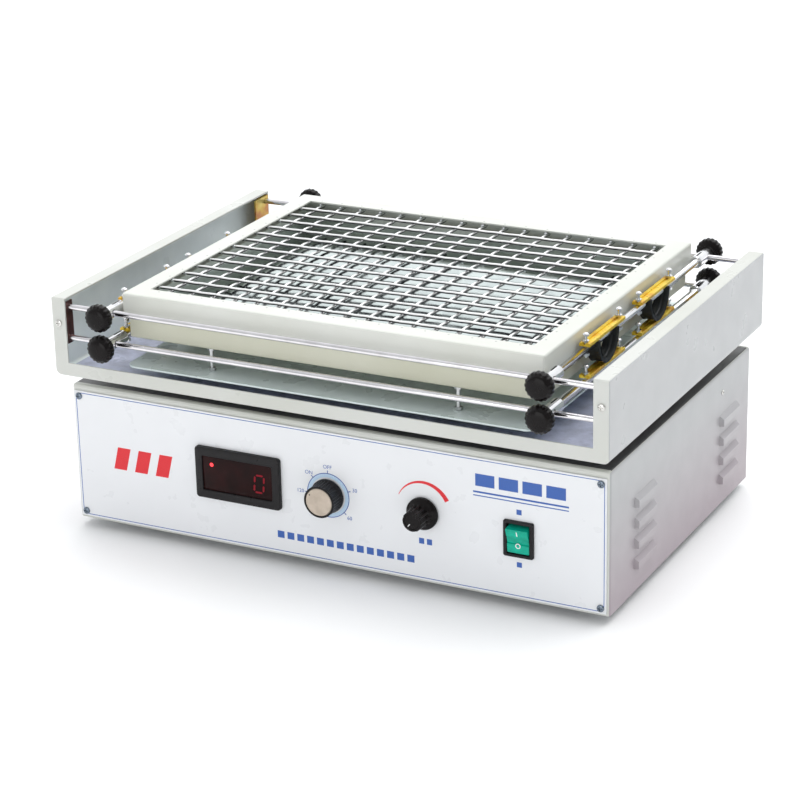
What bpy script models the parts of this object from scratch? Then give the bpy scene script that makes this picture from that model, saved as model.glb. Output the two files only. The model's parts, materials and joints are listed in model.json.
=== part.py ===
"""Benchtop orbital shaker with a wire-mesh platform and two sliding funnel clamps.

Sizes are in millimetres and become metres when a mesh is made. +Z is up, the control
panel faces -Y, and the origin is on the bench under the middle of the case.
"""
import math

import bmesh
import bpy
from mathutils import Matrix, Vector

MM = 0.001
GAP = 0.3                    # kept between pieces that touch
SHEET = 1.2                  # cabinet and platform steel
TRAY_SHEET = 1.5

# Case
CASE_WIDTH, CASE_DEPTH, CASE_HEIGHT = 490.0, 312.0, 121.3
FOOT_HEIGHT, FOOT_RADIUS, FOOT_INSET = 8.0, 12.0, 42.0
CASE_TOP = FOOT_HEIGHT + CASE_HEIGHT
HALF_WIDTH, HALF_DEPTH = CASE_WIDTH / 2, CASE_DEPTH / 2
PLATE_TOP = FOOT_HEIGHT + GAP + 1.5          # upper face of the bottom plate

# Side louvres: two columns on each side
LOUVRE_LENGTH, LOUVRE_HEIGHT, LOUVRE_DEPTH = 44.0, 13.5, 3.6
LOUVRE_PITCH, LOUVRE_LOWEST, LOUVRES = 17.6, 28.0, 4
LOUVRE_COLUMNS = (-86.0, 104.0)

# Control panel, seen from the front
PANEL_HALF_WIDTH, PANEL_LOW, PANEL_HIGH, PANEL_THICK = 242.5, 10.0, 124.0, 1.0
PANEL_BACK = -HALF_DEPTH - GAP
PANEL_FRONT = PANEL_BACK - PANEL_THICK
PANEL_SCREWS = [(x, z) for x in (-238.0, 238.0) for z in (14.8, 119.2)]
DISPLAY_AT, DISPLAY_SIZE, DISPLAY_RISE = (-84.4, 71.3), (79.6, 45.3), 4.0
DISPLAY_BODY, DISPLAY_DEPTH = (75.0, 41.0), 62.0
WINDOW_SIZE, WINDOW_RECESS = (66.0, 30.5), 1.2
TIMER_AT, TIMER_RADIUS, TIMER_RISE = (-1.2, 69.1), 14.6, 16.0
SPEED_AT, SPEED_RADIUS, SPEED_RISE = (84.8, 68.8), 13.8, 20.0
SWITCH_AT, SWITCH_SIZE, SWITCH_RISE = (168.5, 61.1), (25.8, 30.7), 2.6
SWITCH_BODY = (21.6, 28.0)
ROCKER_SIZE, ROCKER_TILT = (18.8, 21.6), math.radians(11)
ROCKER_PIVOT_DEPTH = 2.0                     # behind the panel's face
SHAFT_RADIUS, KNOB_BORE = 3.0, 3.4
INLET_AT, INLET_SIZE, INLET_BODY = (-170.0, 46.0), (50.0, 23.0), (27.4, 19.4)

# Orbital drive
ORBIT_RADIUS = 10.0
TRAY_GAP = 12.5
MAIN_PIN_AT = (0.0, 60.0)                    # crank pins in the tray, at rest
IDLERS = {"left": (-150.0, -105.0), "right": (150.0, -105.0)}
DISC_LOW, DISC_HIGH, PIN_TOP = CASE_TOP + 2.2, CASE_TOP + 8.2, CASE_TOP + 21.7
MAIN_SHAFT, MAIN_DISC, MAIN_PIN = 6.0, 24.0, 5.0
IDLER_SHAFT, IDLER_DISC, IDLER_PIN = 5.0, 19.0, 4.0
PULLEY_RADIUS, MOTOR_PULLEY_RADIUS = 56.0, 16.0      # belt ratio about 4
PULLEY_LOW, PULLEY_HIGH = 88.0, 102.0
MAIN_BEARING_LOW, IDLER_BEARING_LOW = PULLEY_HIGH + 3, PULLEY_HIGH + 4
MAIN_AXIS = (MAIN_PIN_AT[0], MAIN_PIN_AT[1] + ORBIT_RADIUS)
MOTOR_AT, MOTOR_RADIUS, MOTOR_TOP = (-132.0, MAIN_AXIS[1]), 42.0, 84.0

# Tray
TRAY_WIDTH, TRAY_DEPTH, TRAY_HEIGHT = 500.0, 342.0, 68.1
TRAY_LOW = CASE_TOP + TRAY_GAP
TRAY_HIGH = TRAY_LOW + TRAY_HEIGHT
TRAY_FLOOR = TRAY_LOW + TRAY_SHEET
TRAY_FRONT = TRAY_DEPTH / 2
LIP = 13.3                                   # width of the folded edges
FLOOR_LIP = 11.6
TRAY_CORNER = 5.0
SHAKER_PLATE = (370.0, 328.0, 1.5)
SHAKER_PLATE_LOW = TRAY_FLOOR + 12.2
SHAKER_PLATE_TOP = SHAKER_PLATE_LOW + SHAKER_PLATE[2]

# Rods across the tray and clamp bars along it
UPPER_Z, LOWER_Z = 201.5, 174.6
LEVELS = {"upper": UPPER_Z, "lower": LOWER_Z}
ENDS = {"front": -1, "rear": 1}
ROD_RADIUS, ROD_Y, ROD_HALF = 2.5, 165.0, 240.5
BRACKET_X, BRACKET_SHEET = 236.2, 1.6
BRACKET_DEPTH = {"front": 9.0, "rear": 23.0}
BAR_X, BAR_HALF = 197.0, 160.5
BAR_RADIUS = {"upper": 3.0, "lower": 3.5}
SLEEVE_RADIUS = {"upper": 5.6, "lower": 6.0}
SLEEVE_OUT, SLEEVE_IN = 174.0, 146.0
CLAMP_KNOB_RADIUS, CLAMP_KNOB_DEPTH = 12.6, 13.2
STUD_RADIUS, STUD_LENGTH = 2.4, 5.0

# Vessel holders on the clamp bars: a strip on each bar and a rubber loop between them
STRIP_LENGTH, STRIP_WIDTH, STRIP_THICK = 73.0, 9.0, 2.6
BOLT_RADIUS, BOLT_SPREAD, BOLT_RISE = 1.2, 33.5, 8.2
HOLDERS = {"left": (-107.0, -5.0), "right": (-58.5, 50.5)}
LOOP_HALF, LOOP_WIDTH, LOOP_THICK = 21.0, 12.0, 3.6

# Mesh platform
PLATFORM_HALF_X, PLATFORM_HALF_Y, PLATFORM_TOP = 190.0, 155.5, 216.5
LID_DEPTH, RIM_X, RIM_Y = 19.8, 17.0, 18.0
PAN_INSET, PAN_LOW, PAN_FLOOR, PAN_HIGH = 3.5, 177.5, 195.0, 205.0
WIRE_RADIUS, MESH_PITCH = 1.3, 20.35
WIRES_ALONG, WIRES_ACROSS = 17, 13
POST_AT, POST_RADIUS, POST_NUT = (112.0, 146.0), 1.7, 3.2

MATERIALS = {
    # name: (colour, roughness, metallic)
    "white_enamel": ((0.80, 0.81, 0.78), 0.35, 0.0),
    "panel_print": ((0.84, 0.85, 0.87), 0.30, 0.0),
    "chrome": ((0.78, 0.76, 0.79), 0.12, 1.0),
    "zinc": ((0.60, 0.63, 0.64), 0.32, 1.0),
    "galvanised": ((0.42, 0.50, 0.48), 0.35, 1.0),
    "yellow_zinc": ((0.66, 0.46, 0.08), 0.35, 1.0),
    "steel": ((0.42, 0.42, 0.43), 0.35, 1.0),
    "cast_iron": ((0.12, 0.13, 0.14), 0.60, 0.4),
    "black_plastic": ((0.018, 0.016, 0.015), 0.35, 0.0),
    "red_window": ((0.09, 0.008, 0.010), 0.10, 0.0),
    "green_lens": ((0.01, 0.36, 0.20), 0.15, 0.0),
    "rubber": ((0.020, 0.026, 0.028), 0.70, 0.0),
    "circuit_board": ((0.02, 0.16, 0.07), 0.45, 0.0),
}

for old in list(bpy.data.objects):
    bpy.data.objects.remove(old, do_unlink=True)
shaker = bpy.data.collections.new("orbital_shaker")
cutters = bpy.data.collections.new("cutters")
bpy.context.scene.collection.children.link(shaker)
bpy.context.scene.collection.children.link(cutters)


def make_material(name):
    colour, roughness, metallic = MATERIALS[name]
    material = bpy.data.materials.new(name)
    material.use_nodes = True
    shader = material.node_tree.nodes["Principled BSDF"]
    shader.inputs["Base Color"].default_value = (*colour, 1)
    shader.inputs["Roughness"].default_value = roughness
    shader.inputs["Metallic"].default_value = metallic
    return material


materials = {name: make_material(name) for name in MATERIALS}


# Modelling helpers

def tool(bm):
    """Wrap a bmesh in a wire-display object in the cutters collection."""
    mesh = bpy.data.meshes.new("tool")
    bm.to_mesh(mesh)
    bm.free()
    obj = bpy.data.objects.new("tool", mesh)
    cutters.objects.link(obj)
    obj.hide_render = True
    obj.display_type = "WIRE"
    return obj


def bake(obj):
    """Apply every modifier of an object to its mesh."""
    graph = bpy.context.evaluated_depsgraph_get()
    mesh = bpy.data.meshes.new_from_object(obj.evaluated_get(graph))
    obj.modifiers.clear()
    obj.data = mesh
    return obj


def bevel(obj, width, segments=1, angle=50):
    modifier = obj.modifiers.new("bevel", "BEVEL")
    modifier.width = width * MM
    modifier.segments = segments
    modifier.limit_method = "ANGLE"
    modifier.angle_limit = math.radians(angle)
    return bake(obj)


def box(low, high, rounded=0.0, segments=1):
    """A block between two corners."""
    low, high = Vector(low), Vector(high)
    bm = bmesh.new()
    bmesh.ops.create_cube(bm, size=1)
    bmesh.ops.scale(bm, vec=(high - low) * MM, verts=bm.verts)
    bmesh.ops.translate(bm, vec=(high + low) / 2 * MM, verts=bm.verts)
    obj = tool(bm)
    return bevel(obj, rounded, segments) if rounded else obj


TURN_TO = {"X": Matrix.Rotation(math.pi / 2, 3, "Y"), "Y": Matrix.Rotation(-math.pi / 2, 3, "X"),
           "-Y": Matrix.Rotation(math.pi / 2, 3, "X"), "Z": Matrix.Identity(3)}


def cylinder(base, axis, length, radius, sides=24, tip=None):
    """A cylinder or cone that starts at base and runs along axis."""
    bm = bmesh.new()
    bmesh.ops.create_cone(bm, cap_ends=True, segments=sides, radius1=radius * MM,
                          radius2=(radius if tip is None else tip) * MM, depth=length * MM)
    bmesh.ops.translate(bm, vec=(0, 0, length / 2 * MM), verts=bm.verts)
    bmesh.ops.rotate(bm, cent=(0, 0, 0), matrix=TURN_TO[axis], verts=bm.verts)
    bmesh.ops.translate(bm, vec=Vector(base) * MM, verts=bm.verts)
    return tool(bm)


def turned(profile, base, axis="Z", sides=32, closed=False):
    """A profile of (radius, height), outer side top to bottom, turned about an axis."""
    bm = bmesh.new()
    points = [bm.verts.new((radius * MM, 0, height * MM)) for radius, height in profile]
    for start, end in zip(points, points[1:] + (points[:1] if closed else [])):
        bm.edges.new((start, end))
    obj = tool(bm)
    screw = obj.modifiers.new("turn", "SCREW")
    screw.steps = screw.render_steps = sides
    screw.use_merge_vertices = True
    screw.merge_threshold = 0.00001
    bake(obj)
    bm = bmesh.new()
    bm.from_mesh(obj.data)
    bmesh.ops.recalc_face_normals(bm, faces=bm.faces)
    bmesh.ops.rotate(bm, cent=(0, 0, 0), matrix=TURN_TO[axis], verts=bm.verts)
    bmesh.ops.translate(bm, vec=Vector(base) * MM, verts=bm.verts)
    bm.to_mesh(obj.data)
    bm.free()
    return obj


def boolean(target, others, operation):
    for other in others:
        modifier = target.modifiers.new("boolean", "BOOLEAN")
        modifier.operation = operation
        modifier.object = other
        bake(target)
        bpy.data.objects.remove(other, do_unlink=True)
    return target


def cut(target, *others):
    return boolean(target, others, "DIFFERENCE")


def joined(target, *others):
    return boolean(target, others, "UNION")


def group(pieces):
    """Put separate cutters into one object."""
    bm = bmesh.new()
    for piece in pieces:
        bm.from_mesh(piece.data)
        bpy.data.objects.remove(piece, do_unlink=True)
    return tool(bm)


def pivot(name, place, parent=None):
    """An empty on a joint's axis; place is in world millimetres."""
    empty = bpy.data.objects.new(name, None)
    shaker.objects.link(empty)
    empty["world"] = [value * MM for value in place]
    empty.parent = parent
    offset = Vector(parent["world"]) if parent else Vector((0, 0, 0))
    empty.location = Vector(empty["world"]) - offset
    return empty


def part(name, obj, material, body):
    """Finish a piece: name it, give it its material, and hang it on its body's pivot."""
    cutters.objects.unlink(obj)
    shaker.objects.link(obj)
    obj.name = obj.data.name = name
    obj.hide_render = False
    obj.display_type = "TEXTURED"
    obj.data.transform(Matrix.Translation(-Vector(body["world"])))
    obj.parent = body
    obj.data.materials.clear()
    obj.data.materials.append(materials[material])
    obj.data.shade_smooth()
    obj.data.set_sharp_from_angle(angle=math.radians(35))
    return obj


def at(place, y):
    """A point on the front panel, given as (x, z), at depth y."""
    return place[0], y, place[1]


def plate_box(place, size, y_from, y_to, rounded=0.0, segments=1):
    """A block centred on a panel position, between two depths."""
    x, z = place
    width, height = size
    low = (x - width / 2, min(y_from, y_to), z - height / 2)
    return box(low, (x + width / 2, max(y_from, y_to), z + height / 2), rounded, segments)


# Bodies: an empty on the axis of each moving piece

case = pivot("case_body", (0, 0, 0))
crank = pivot("main_crank_body", (*MAIN_AXIS, DISC_LOW), case)
tray = pivot("tray_body", (*MAIN_PIN_AT, TRAY_LOW), crank)
rotor = pivot("motor_rotor_body", (*MOTOR_AT, PULLEY_LOW), case)
idler_bodies = {name: pivot(f"idler_{name}_body", (x, y + ORBIT_RADIUS, DISC_LOW), case)
                for name, (x, y) in IDLERS.items()}
clamps = {"left": pivot("clamp_left_body", (-BAR_X, 0, UPPER_Z), tray),
          "right": pivot("clamp_right_body", (BAR_X, 0, UPPER_Z), tray)}


# Case

def louvre_wedge(side, y, z, inset, outer):
    """A hood that leans out of the wall towards its lower edge."""
    wall = side * HALF_WIDTH
    bm = bmesh.new()
    bmesh.ops.create_cube(bm, size=1)
    for corner in bm.verts:
        out = corner.co.x * side > 0
        length = LOUVRE_LENGTH / 2 - inset - (3.0 if out else 0.0)
        top = LOUVRE_HEIGHT - inset - (7.5 if out else 0.0)
        corner.co.x = (wall + side * (outer if out else -4.0)) * MM
        corner.co.y = (y + math.copysign(length, corner.co.y)) * MM
        corner.co.z = (z + (top if corner.co.z > 0 else -0.2 if inset else 0.0)) * MM
    bmesh.ops.recalc_face_normals(bm, faces=bm.faces)
    return tool(bm)


def cabinet_shell():
    shell = box((-HALF_WIDTH, -HALF_DEPTH, 0), (HALF_WIDTH, HALF_DEPTH, CASE_TOP), 2.4, 2)
    places = [(side, y, LOUVRE_LOWEST + step * LOUVRE_PITCH)
              for side in (-1, 1) for y in LOUVRE_COLUMNS for step in range(LOUVRES)]
    joined(shell, group([louvre_wedge(side, y, z, 0.0, LOUVRE_DEPTH) for side, y, z in places]))
    inner = box((-HALF_WIDTH + SHEET, -HALF_DEPTH + SHEET, -5),
                (HALF_WIDTH - SHEET, HALF_DEPTH - SHEET, CASE_TOP - SHEET))
    below = box((-CASE_WIDTH, -CASE_DEPTH, -5), (CASE_WIDTH, CASE_DEPTH, FOOT_HEIGHT))
    cut(shell, below, inner)
    cut(shell, group([louvre_wedge(side, y, z, SHEET, LOUVRE_DEPTH - SHEET) for side, y, z in places]))
    holes = [cylinder((*MAIN_AXIS, CASE_TOP - 5), "Z", 10, 15, 24)]
    holes += [cylinder((x, y + ORBIT_RADIUS, CASE_TOP - 5), "Z", 10, 12, 20) for x, y in IDLERS.values()]
    cut(shell, group(holes + panel_openings() + rear_openings()))
    return shell


def panel_openings():
    """Cutters through the front wall and the control panel."""
    front, back = PANEL_FRONT - 5, -HALF_DEPTH + 5
    display = [side + 2 * GAP for side in DISPLAY_BODY]
    switch = [side + 2 * GAP for side in SWITCH_BODY]
    tools = [plate_box(DISPLAY_AT, display, front, back), plate_box(SWITCH_AT, switch, front, back)]
    tools += [cylinder(at(place, front), "Y", back - front, 5.2, 20) for place in (TIMER_AT, SPEED_AT)]
    tools += [cylinder(at(place, front), "Y", back - front, 1.9, 12) for place in PANEL_SCREWS]
    return tools


def rear_openings():
    inlet = [side + 2 * GAP for side in INLET_BODY]
    return [plate_box(INLET_AT, inlet, HALF_DEPTH - 5, HALF_DEPTH + 5)]


def bottom_plate():
    edge = SHEET + GAP
    plate = box((-HALF_WIDTH + edge, -HALF_DEPTH + edge, FOOT_HEIGHT + GAP),
                (HALF_WIDTH - edge, HALF_DEPTH - edge, PLATE_TOP))
    vents = [box((x - 1.5, -30, 0), (x + 1.5, 30, 20)) for x in range(60, 150, 12)]
    return cut(plate, group(vents + [cylinder((x, y, 0), "Z", 20, 2.4, 12) for x, y in foot_places()]))


def foot_places():
    x, y = HALF_WIDTH - FOOT_INSET, HALF_DEPTH - FOOT_INSET
    return [(-x, -y), (x, -y), (-x, y), (x, y)]


def rubber_foot(x, y):
    """A tapered foot with a recess for its screw, and a stem through the bottom plate."""
    stem_top = PLATE_TOP + 4
    profile = [(0, stem_top), (2.0, stem_top), (2.0, FOOT_HEIGHT), (FOOT_RADIUS, FOOT_HEIGHT),
               (FOOT_RADIUS - 1.6, 0.8), (FOOT_RADIUS - 2.4, 0), (4.0, 0), (3.4, 2.4), (0, 2.4)]
    return turned(profile, (x, y, 0), sides=16)


def control_panel():
    panel = box((-PANEL_HALF_WIDTH, PANEL_FRONT, PANEL_LOW), (PANEL_HALF_WIDTH, PANEL_BACK, PANEL_HIGH))
    return cut(panel, group(panel_openings()))


def display_bezel():
    front = PANEL_FRONT - GAP - DISPLAY_RISE
    rim = plate_box(DISPLAY_AT, DISPLAY_SIZE, front, PANEL_FRONT - GAP, 1.6, 2)
    joined(rim, plate_box(DISPLAY_AT, DISPLAY_BODY, PANEL_FRONT - GAP - 1, front + DISPLAY_DEPTH))
    pocket = plate_box(DISPLAY_AT, WINDOW_SIZE, front - 1, front + WINDOW_RECESS + 2.0)
    return cut(rim, pocket)


def display_window():
    front = PANEL_FRONT - GAP - DISPLAY_RISE + WINDOW_RECESS
    size = [side - 2 * GAP for side in WINDOW_SIZE]
    return plate_box(DISPLAY_AT, size, front, front + 2.0 - GAP)


def switch_housing():
    front = PANEL_FRONT - GAP - SWITCH_RISE
    rim = plate_box(SWITCH_AT, SWITCH_SIZE, front, PANEL_FRONT - GAP, 1.2, 2)
    joined(rim, plate_box(SWITCH_AT, SWITCH_BODY, PANEL_FRONT - GAP - 1, -HALF_DEPTH + 22))
    x, z = SWITCH_AT
    terminals = [box((x - 3, -HALF_DEPTH + 20, z + dz - 0.4), (x + 3, -HALF_DEPTH + 31, z + dz + 0.4))
                 for dz in (-8.0, 0.0, 8.0)]
    joined(rim, *terminals)
    return cut(rim, plate_box(SWITCH_AT, (19.6, 25.6), front - 1, -HALF_DEPTH + 12))


def rocker():
    """A rocker with a shallow V face, tilted about its pivot."""
    width, height = ROCKER_SIZE
    depth = 7.6
    block = plate_box((0, 0), (width, height), -depth, 4.0, 0.8, 2)
    valley = plate_box((0, 0), (width + 4, height + 8), -4, 4)
    valley.data.transform(Matrix.Rotation(math.radians(8), 4, "X"))
    valley.data.transform(Matrix.Translation(Vector((0, -depth - 2.6, height / 2)) * MM))
    other = plate_box((0, 0), (width + 4, height + 8), -4, 4)
    other.data.transform(Matrix.Rotation(math.radians(-8), 4, "X"))
    other.data.transform(Matrix.Translation(Vector((0, -depth - 2.6, -height / 2)) * MM))
    cut(block, valley, other)
    block.data.transform(Matrix.Rotation(ROCKER_TILT, 4, "X"))
    block.data.transform(Matrix.Translation(Vector(rocker_pivot()) * MM))
    return block


def rocker_pivot():
    return at(SWITCH_AT, PANEL_FRONT + ROCKER_PIVOT_DEPTH)


def fluted(obj, centre, flutes, inner, outer, depth):
    """Press shallow flutes into a turned knob whose axis runs along Y."""
    for vertex in obj.data.vertices:
        across = Vector((vertex.co.x / MM - centre[0], vertex.co.z / MM - centre[1]))
        if inner < across.length < outer:
            step = round(math.atan2(across.y, across.x) / math.pi * flutes)
            if step % 2:
                moved = across * (1 - depth / across.length)
                vertex.co.x = (centre[0] + moved.x) * MM
                vertex.co.z = (centre[1] + moved.y) * MM
    return obj


def panel_knob(place, radius, rise, waist):
    """A round instrument knob with a skirt and a blind bore for its shaft."""
    bore_end = rise - 3.0
    profile = [(0, rise), (waist - 1.2, rise), (waist, rise - 1.2), (waist + 0.5, 5.5), (radius, 4.6),
               (radius, 0), (KNOB_BORE, 0), (KNOB_BORE, bore_end), (0, bore_end)]
    knob = turned(profile, at(place, PANEL_FRONT - 0.9), "-Y", 28)
    return fluted(knob, place, 14, waist - 0.8, radius + 1, 0.5)


def timer_body():
    body = plate_box(TIMER_AT, (48, 48), -HALF_DEPTH + SHEET + GAP, -HALF_DEPTH + 42, 2.0)
    joined(body, cylinder(at(TIMER_AT, -HALF_DEPTH + 3), "-Y", 5.2, 4.6, 20))
    return joined(body, cylinder(at(TIMER_AT, -HALF_DEPTH + 3), "-Y", 15.0, SHAFT_RADIUS, 16))


def speed_potentiometer():
    body = cylinder(at(SPEED_AT, -HALF_DEPTH + 20), "-Y", 20 - SHEET - GAP, 12.0, 24)
    joined(body, cylinder(at(SPEED_AT, -HALF_DEPTH + 3), "-Y", 5.2, 4.6, 20))
    return joined(body, cylinder(at(SPEED_AT, -HALF_DEPTH + 3), "-Y", 18.0, SHAFT_RADIUS, 16))


def power_inlet():
    flange = plate_box(INLET_AT, INLET_SIZE, HALF_DEPTH + GAP, HALF_DEPTH + GAP + 2.4, 1.0)
    joined(flange, plate_box(INLET_AT, INLET_BODY, HALF_DEPTH - 22, HALF_DEPTH + GAP + 1))
    cut(flange, plate_box(INLET_AT, (23.6, 15.8), HALF_DEPTH - 16, HALF_DEPTH + 10))
    x, z = INLET_AT
    pins = [box((x + dx - 1, HALF_DEPTH - 17, z + dz - 2), (x + dx + 1, HALF_DEPTH - 5, z + dz + 2))
            for dx, dz in ((-7, -1.5), (0, 2), (7, -1.5))]
    return joined(flange, *pins)


part("cabinet_shell", cabinet_shell(), "white_enamel", case)
part("bottom_plate", bottom_plate(), "zinc", case)
for foot_name, (x, y) in zip(("front_left", "front_right", "rear_left", "rear_right"), foot_places()):
    part(f"rubber_foot_{foot_name}", rubber_foot(x, y), "rubber", case)
part("control_panel", control_panel(), "panel_print", case)
part("display_bezel", display_bezel(), "black_plastic", case)
part("display_window", display_window(), "red_window", case)
part("timer_body", timer_body(), "zinc", case)
part("speed_potentiometer", speed_potentiometer(), "zinc", case)
part("switch_housing", switch_housing(), "black_plastic", case)
part("power_inlet", power_inlet(), "black_plastic", case)

timer_pivot = pivot("timer_knob_body", at(TIMER_AT, PANEL_FRONT), case)
speed_pivot = pivot("speed_knob_body", at(SPEED_AT, PANEL_FRONT), case)
rocker_body = pivot("rocker_body", rocker_pivot(), case)
part("timer_knob", panel_knob(TIMER_AT, TIMER_RADIUS, TIMER_RISE, 13.4), "black_plastic", timer_pivot)
part("speed_knob", panel_knob(SPEED_AT, SPEED_RADIUS, SPEED_RISE, 8.8), "black_plastic", speed_pivot)
part("rocker", rocker(), "green_lens", rocker_body)


# Drive

def bearing_frame():
    """An I-shaped plate under the case top with a bearing tube for each shaft."""
    top = CASE_TOP - SHEET - GAP
    low = top - 4
    front, rear = IDLERS["left"][1] + ORBIT_RADIUS, MAIN_AXIS[1]
    frame = box((-190, front - 24, low), (190, front + 24, top))
    joined(frame, box((-26, front, low), (26, rear + 60, top)),
           box((-90, rear + 34, low), (90, rear + 64, top)))
    tubes = [(*MAIN_AXIS, 17, MAIN_BEARING_LOW)]
    tubes += [(x, y + ORBIT_RADIUS, 12, IDLER_BEARING_LOW) for x, y in IDLERS.values()]
    joined(frame, *[cylinder((x, y, bottom), "Z", low + 1 - bottom, radius, 28)
                    for x, y, radius, bottom in tubes])
    bores = [cylinder((*MAIN_AXIS, 90), "Z", 60, MAIN_SHAFT + GAP, 20)]
    bores += [cylinder((x, y + ORBIT_RADIUS, 90), "Z", 60, IDLER_SHAFT + GAP, 20) for x, y in IDLERS.values()]
    return cut(frame, group(bores))


def crank_piece(x, y, shaft, disc, pin, shaft_low):
    """Shaft, eccentric disc and crank pin; the pin stands one orbit radius in front of the shaft."""
    piece = cylinder((x, y + ORBIT_RADIUS, shaft_low), "Z", DISC_LOW - shaft_low + 1, shaft, 16)
    joined(piece, turned([(0, DISC_HIGH), (disc - 0.8, DISC_HIGH), (disc, DISC_HIGH - 0.8),
                          (disc, DISC_LOW), (0, DISC_LOW)], (x, y + ORBIT_RADIUS, 0), sides=24))
    return joined(piece, cylinder((x, y, DISC_HIGH - 1), "Z", PIN_TOP - DISC_HIGH + 1, pin, 16))


def grooved_pulley(x, y, radius, bore, hub, hub_drop):
    """A V-belt pulley with its groove in the middle of the rim and a hub below it."""
    low, high = PULLEY_LOW, PULLEY_HIGH
    middle = (low + high) / 2
    profile = [(bore, high), (radius, high), (radius, high - 1.6), (radius - 5, middle + 2),
               (radius - 5, middle - 2), (radius, low + 1.6), (radius, low), (hub, low),
               (hub, low - hub_drop), (bore, low - hub_drop)]
    return turned(profile, (x, y, 0), sides=24, closed=True)


def driven_pulley():
    """The large pulley, with a half-disc counterweight on the side away from the crank pin."""
    x, y = MAIN_AXIS
    pulley = grooved_pulley(x, y, PULLEY_RADIUS, MAIN_SHAFT + GAP, 14, 4)
    low = PULLEY_LOW - 12
    weight = cylinder((x, y, low), "Z", PULLEY_LOW + 1 - low, 46, 24)
    cut(weight, box((x - 60, y - 60, low - 5), (x + 60, y + 4, PULLEY_LOW + 5)))
    cut(weight, cylinder((x, y, low - 5), "Z", 40, 10, 20))
    return joined(pulley, weight)


def belt_loop(offset, low, high):
    """The closed outline around both pulleys at a distance from their belt radii, extruded."""
    big, small = PULLEY_RADIUS - 5 + offset, MOTOR_PULLEY_RADIUS - 5 + offset
    reach = -MOTOR_AT[0]
    lean = math.asin((big - small) / reach)
    wide = [(math.pi / 2 + lean) * (1 - 2 * step / 28) for step in range(29)]
    tight = [math.pi + (math.pi / 2 - lean) * (1 - 2 * step / 12) for step in range(13)]
    outline = [(big * math.cos(angle), big * math.sin(angle)) for angle in wide]
    outline += [(-reach + small * math.cos(angle), small * math.sin(angle)) for angle in tight]
    bm = bmesh.new()
    ring = [bm.verts.new((x * MM, (y + MAIN_AXIS[1]) * MM, low * MM)) for x, y in outline]
    face = bm.faces.new(ring)
    sides = bmesh.ops.extrude_face_region(bm, geom=[face])["geom"]
    moved = [item for item in sides if isinstance(item, bmesh.types.BMVert)]
    bmesh.ops.translate(bm, vec=(0, 0, (high - low) * MM), verts=moved)
    bmesh.ops.recalc_face_normals(bm, faces=bm.faces)
    return tool(bm)


def drive_belt():
    middle = (PULLEY_LOW + PULLEY_HIGH) / 2
    belt = belt_loop(4.2, middle - 1.7, middle + 1.7)
    return cut(belt, belt_loop(GAP, middle - 4, middle + 4))


def motor():
    x, y = MOTOR_AT
    low = PLATE_TOP + 4.6
    profile = [(0, MOTOR_TOP + 3), (10, MOTOR_TOP + 3), (10, MOTOR_TOP), (MOTOR_RADIUS - 4, MOTOR_TOP),
               (MOTOR_RADIUS, MOTOR_TOP - 4), (MOTOR_RADIUS, MOTOR_TOP - 16),
               (MOTOR_RADIUS - 2, MOTOR_TOP - 17), (MOTOR_RADIUS - 2, low + 17),
               (MOTOR_RADIUS, low + 16), (MOTOR_RADIUS, low), (0, low)]
    return turned(profile, (x, y, 0), sides=24)


def motor_bracket():
    """A foot plate with two folded sides that hold the motor against belt pull."""
    x, y = MOTOR_AT
    low = PLATE_TOP + GAP
    plate = box((x - 56, y - 50, low), (x + 56, y + 50, low + 4))
    cheeks = [box((x - 56, y + side - 1.5, low), (x + 56, y + side + 1.5, low + 34))
              for side in (-48.4, 48.4)]
    joined(plate, *cheeks)
    slots = [box((x + dx - 6, y + dy - 2.5, 0), (x + dx + 6, y + dy + 2.5, 40))
             for dx in (-46, 46) for dy in (-36, 36)]
    return cut(plate, group(slots))


def control_board():
    """Speed controller on standoffs: board, heat sink, capacitor and transformer."""
    low = PLATE_TOP + GAP
    board = box((70, -110, low + 8), (190, -30, low + 9.6))
    feet = [cylinder((x, y, low), "Z", 8.5, 3, 12) for x in (76, 184) for y in (-104, -36)]
    tops = [box((82, -100, low + 9), (112, -62, low + 34)), box((150, -98, low + 9), (180, -92, low + 32)),
            box((124, -58, low + 9), (146, -44, low + 18)), cylinder((134, -88, low + 9), "Z", 24, 8, 20),
            cylinder((170, -50, low + 9), "Z", 18, 6, 16)]
    return joined(board, *feet, *tops)


part("bearing_frame", bearing_frame(), "cast_iron", case)
part("motor", motor(), "steel", case)
part("motor_bracket", motor_bracket(), "zinc", case)
part("control_board", control_board(), "circuit_board", case)
part("drive_belt", drive_belt(), "rubber", case)
part("crank_shaft", crank_piece(*MAIN_PIN_AT, MAIN_SHAFT, MAIN_DISC, MAIN_PIN, PULLEY_LOW - 28),
     "steel", crank)
part("driven_pulley", driven_pulley(), "cast_iron", crank)
pulley = grooved_pulley(*MOTOR_AT, MOTOR_PULLEY_RADIUS, 3.0, 8, 0.6)
part("motor_pulley", joined(pulley, cylinder((*MOTOR_AT, MOTOR_TOP + 3 + GAP), "Z", 17, 4, 16)),
     "steel", rotor)
for name, (x, y) in IDLERS.items():
    part(f"idler_crank_{name}", crank_piece(x, y, IDLER_SHAFT, IDLER_DISC, IDLER_PIN, IDLER_BEARING_LOW - 3),
         "steel", idler_bodies[name])


# Tray and everything bolted to it

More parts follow.
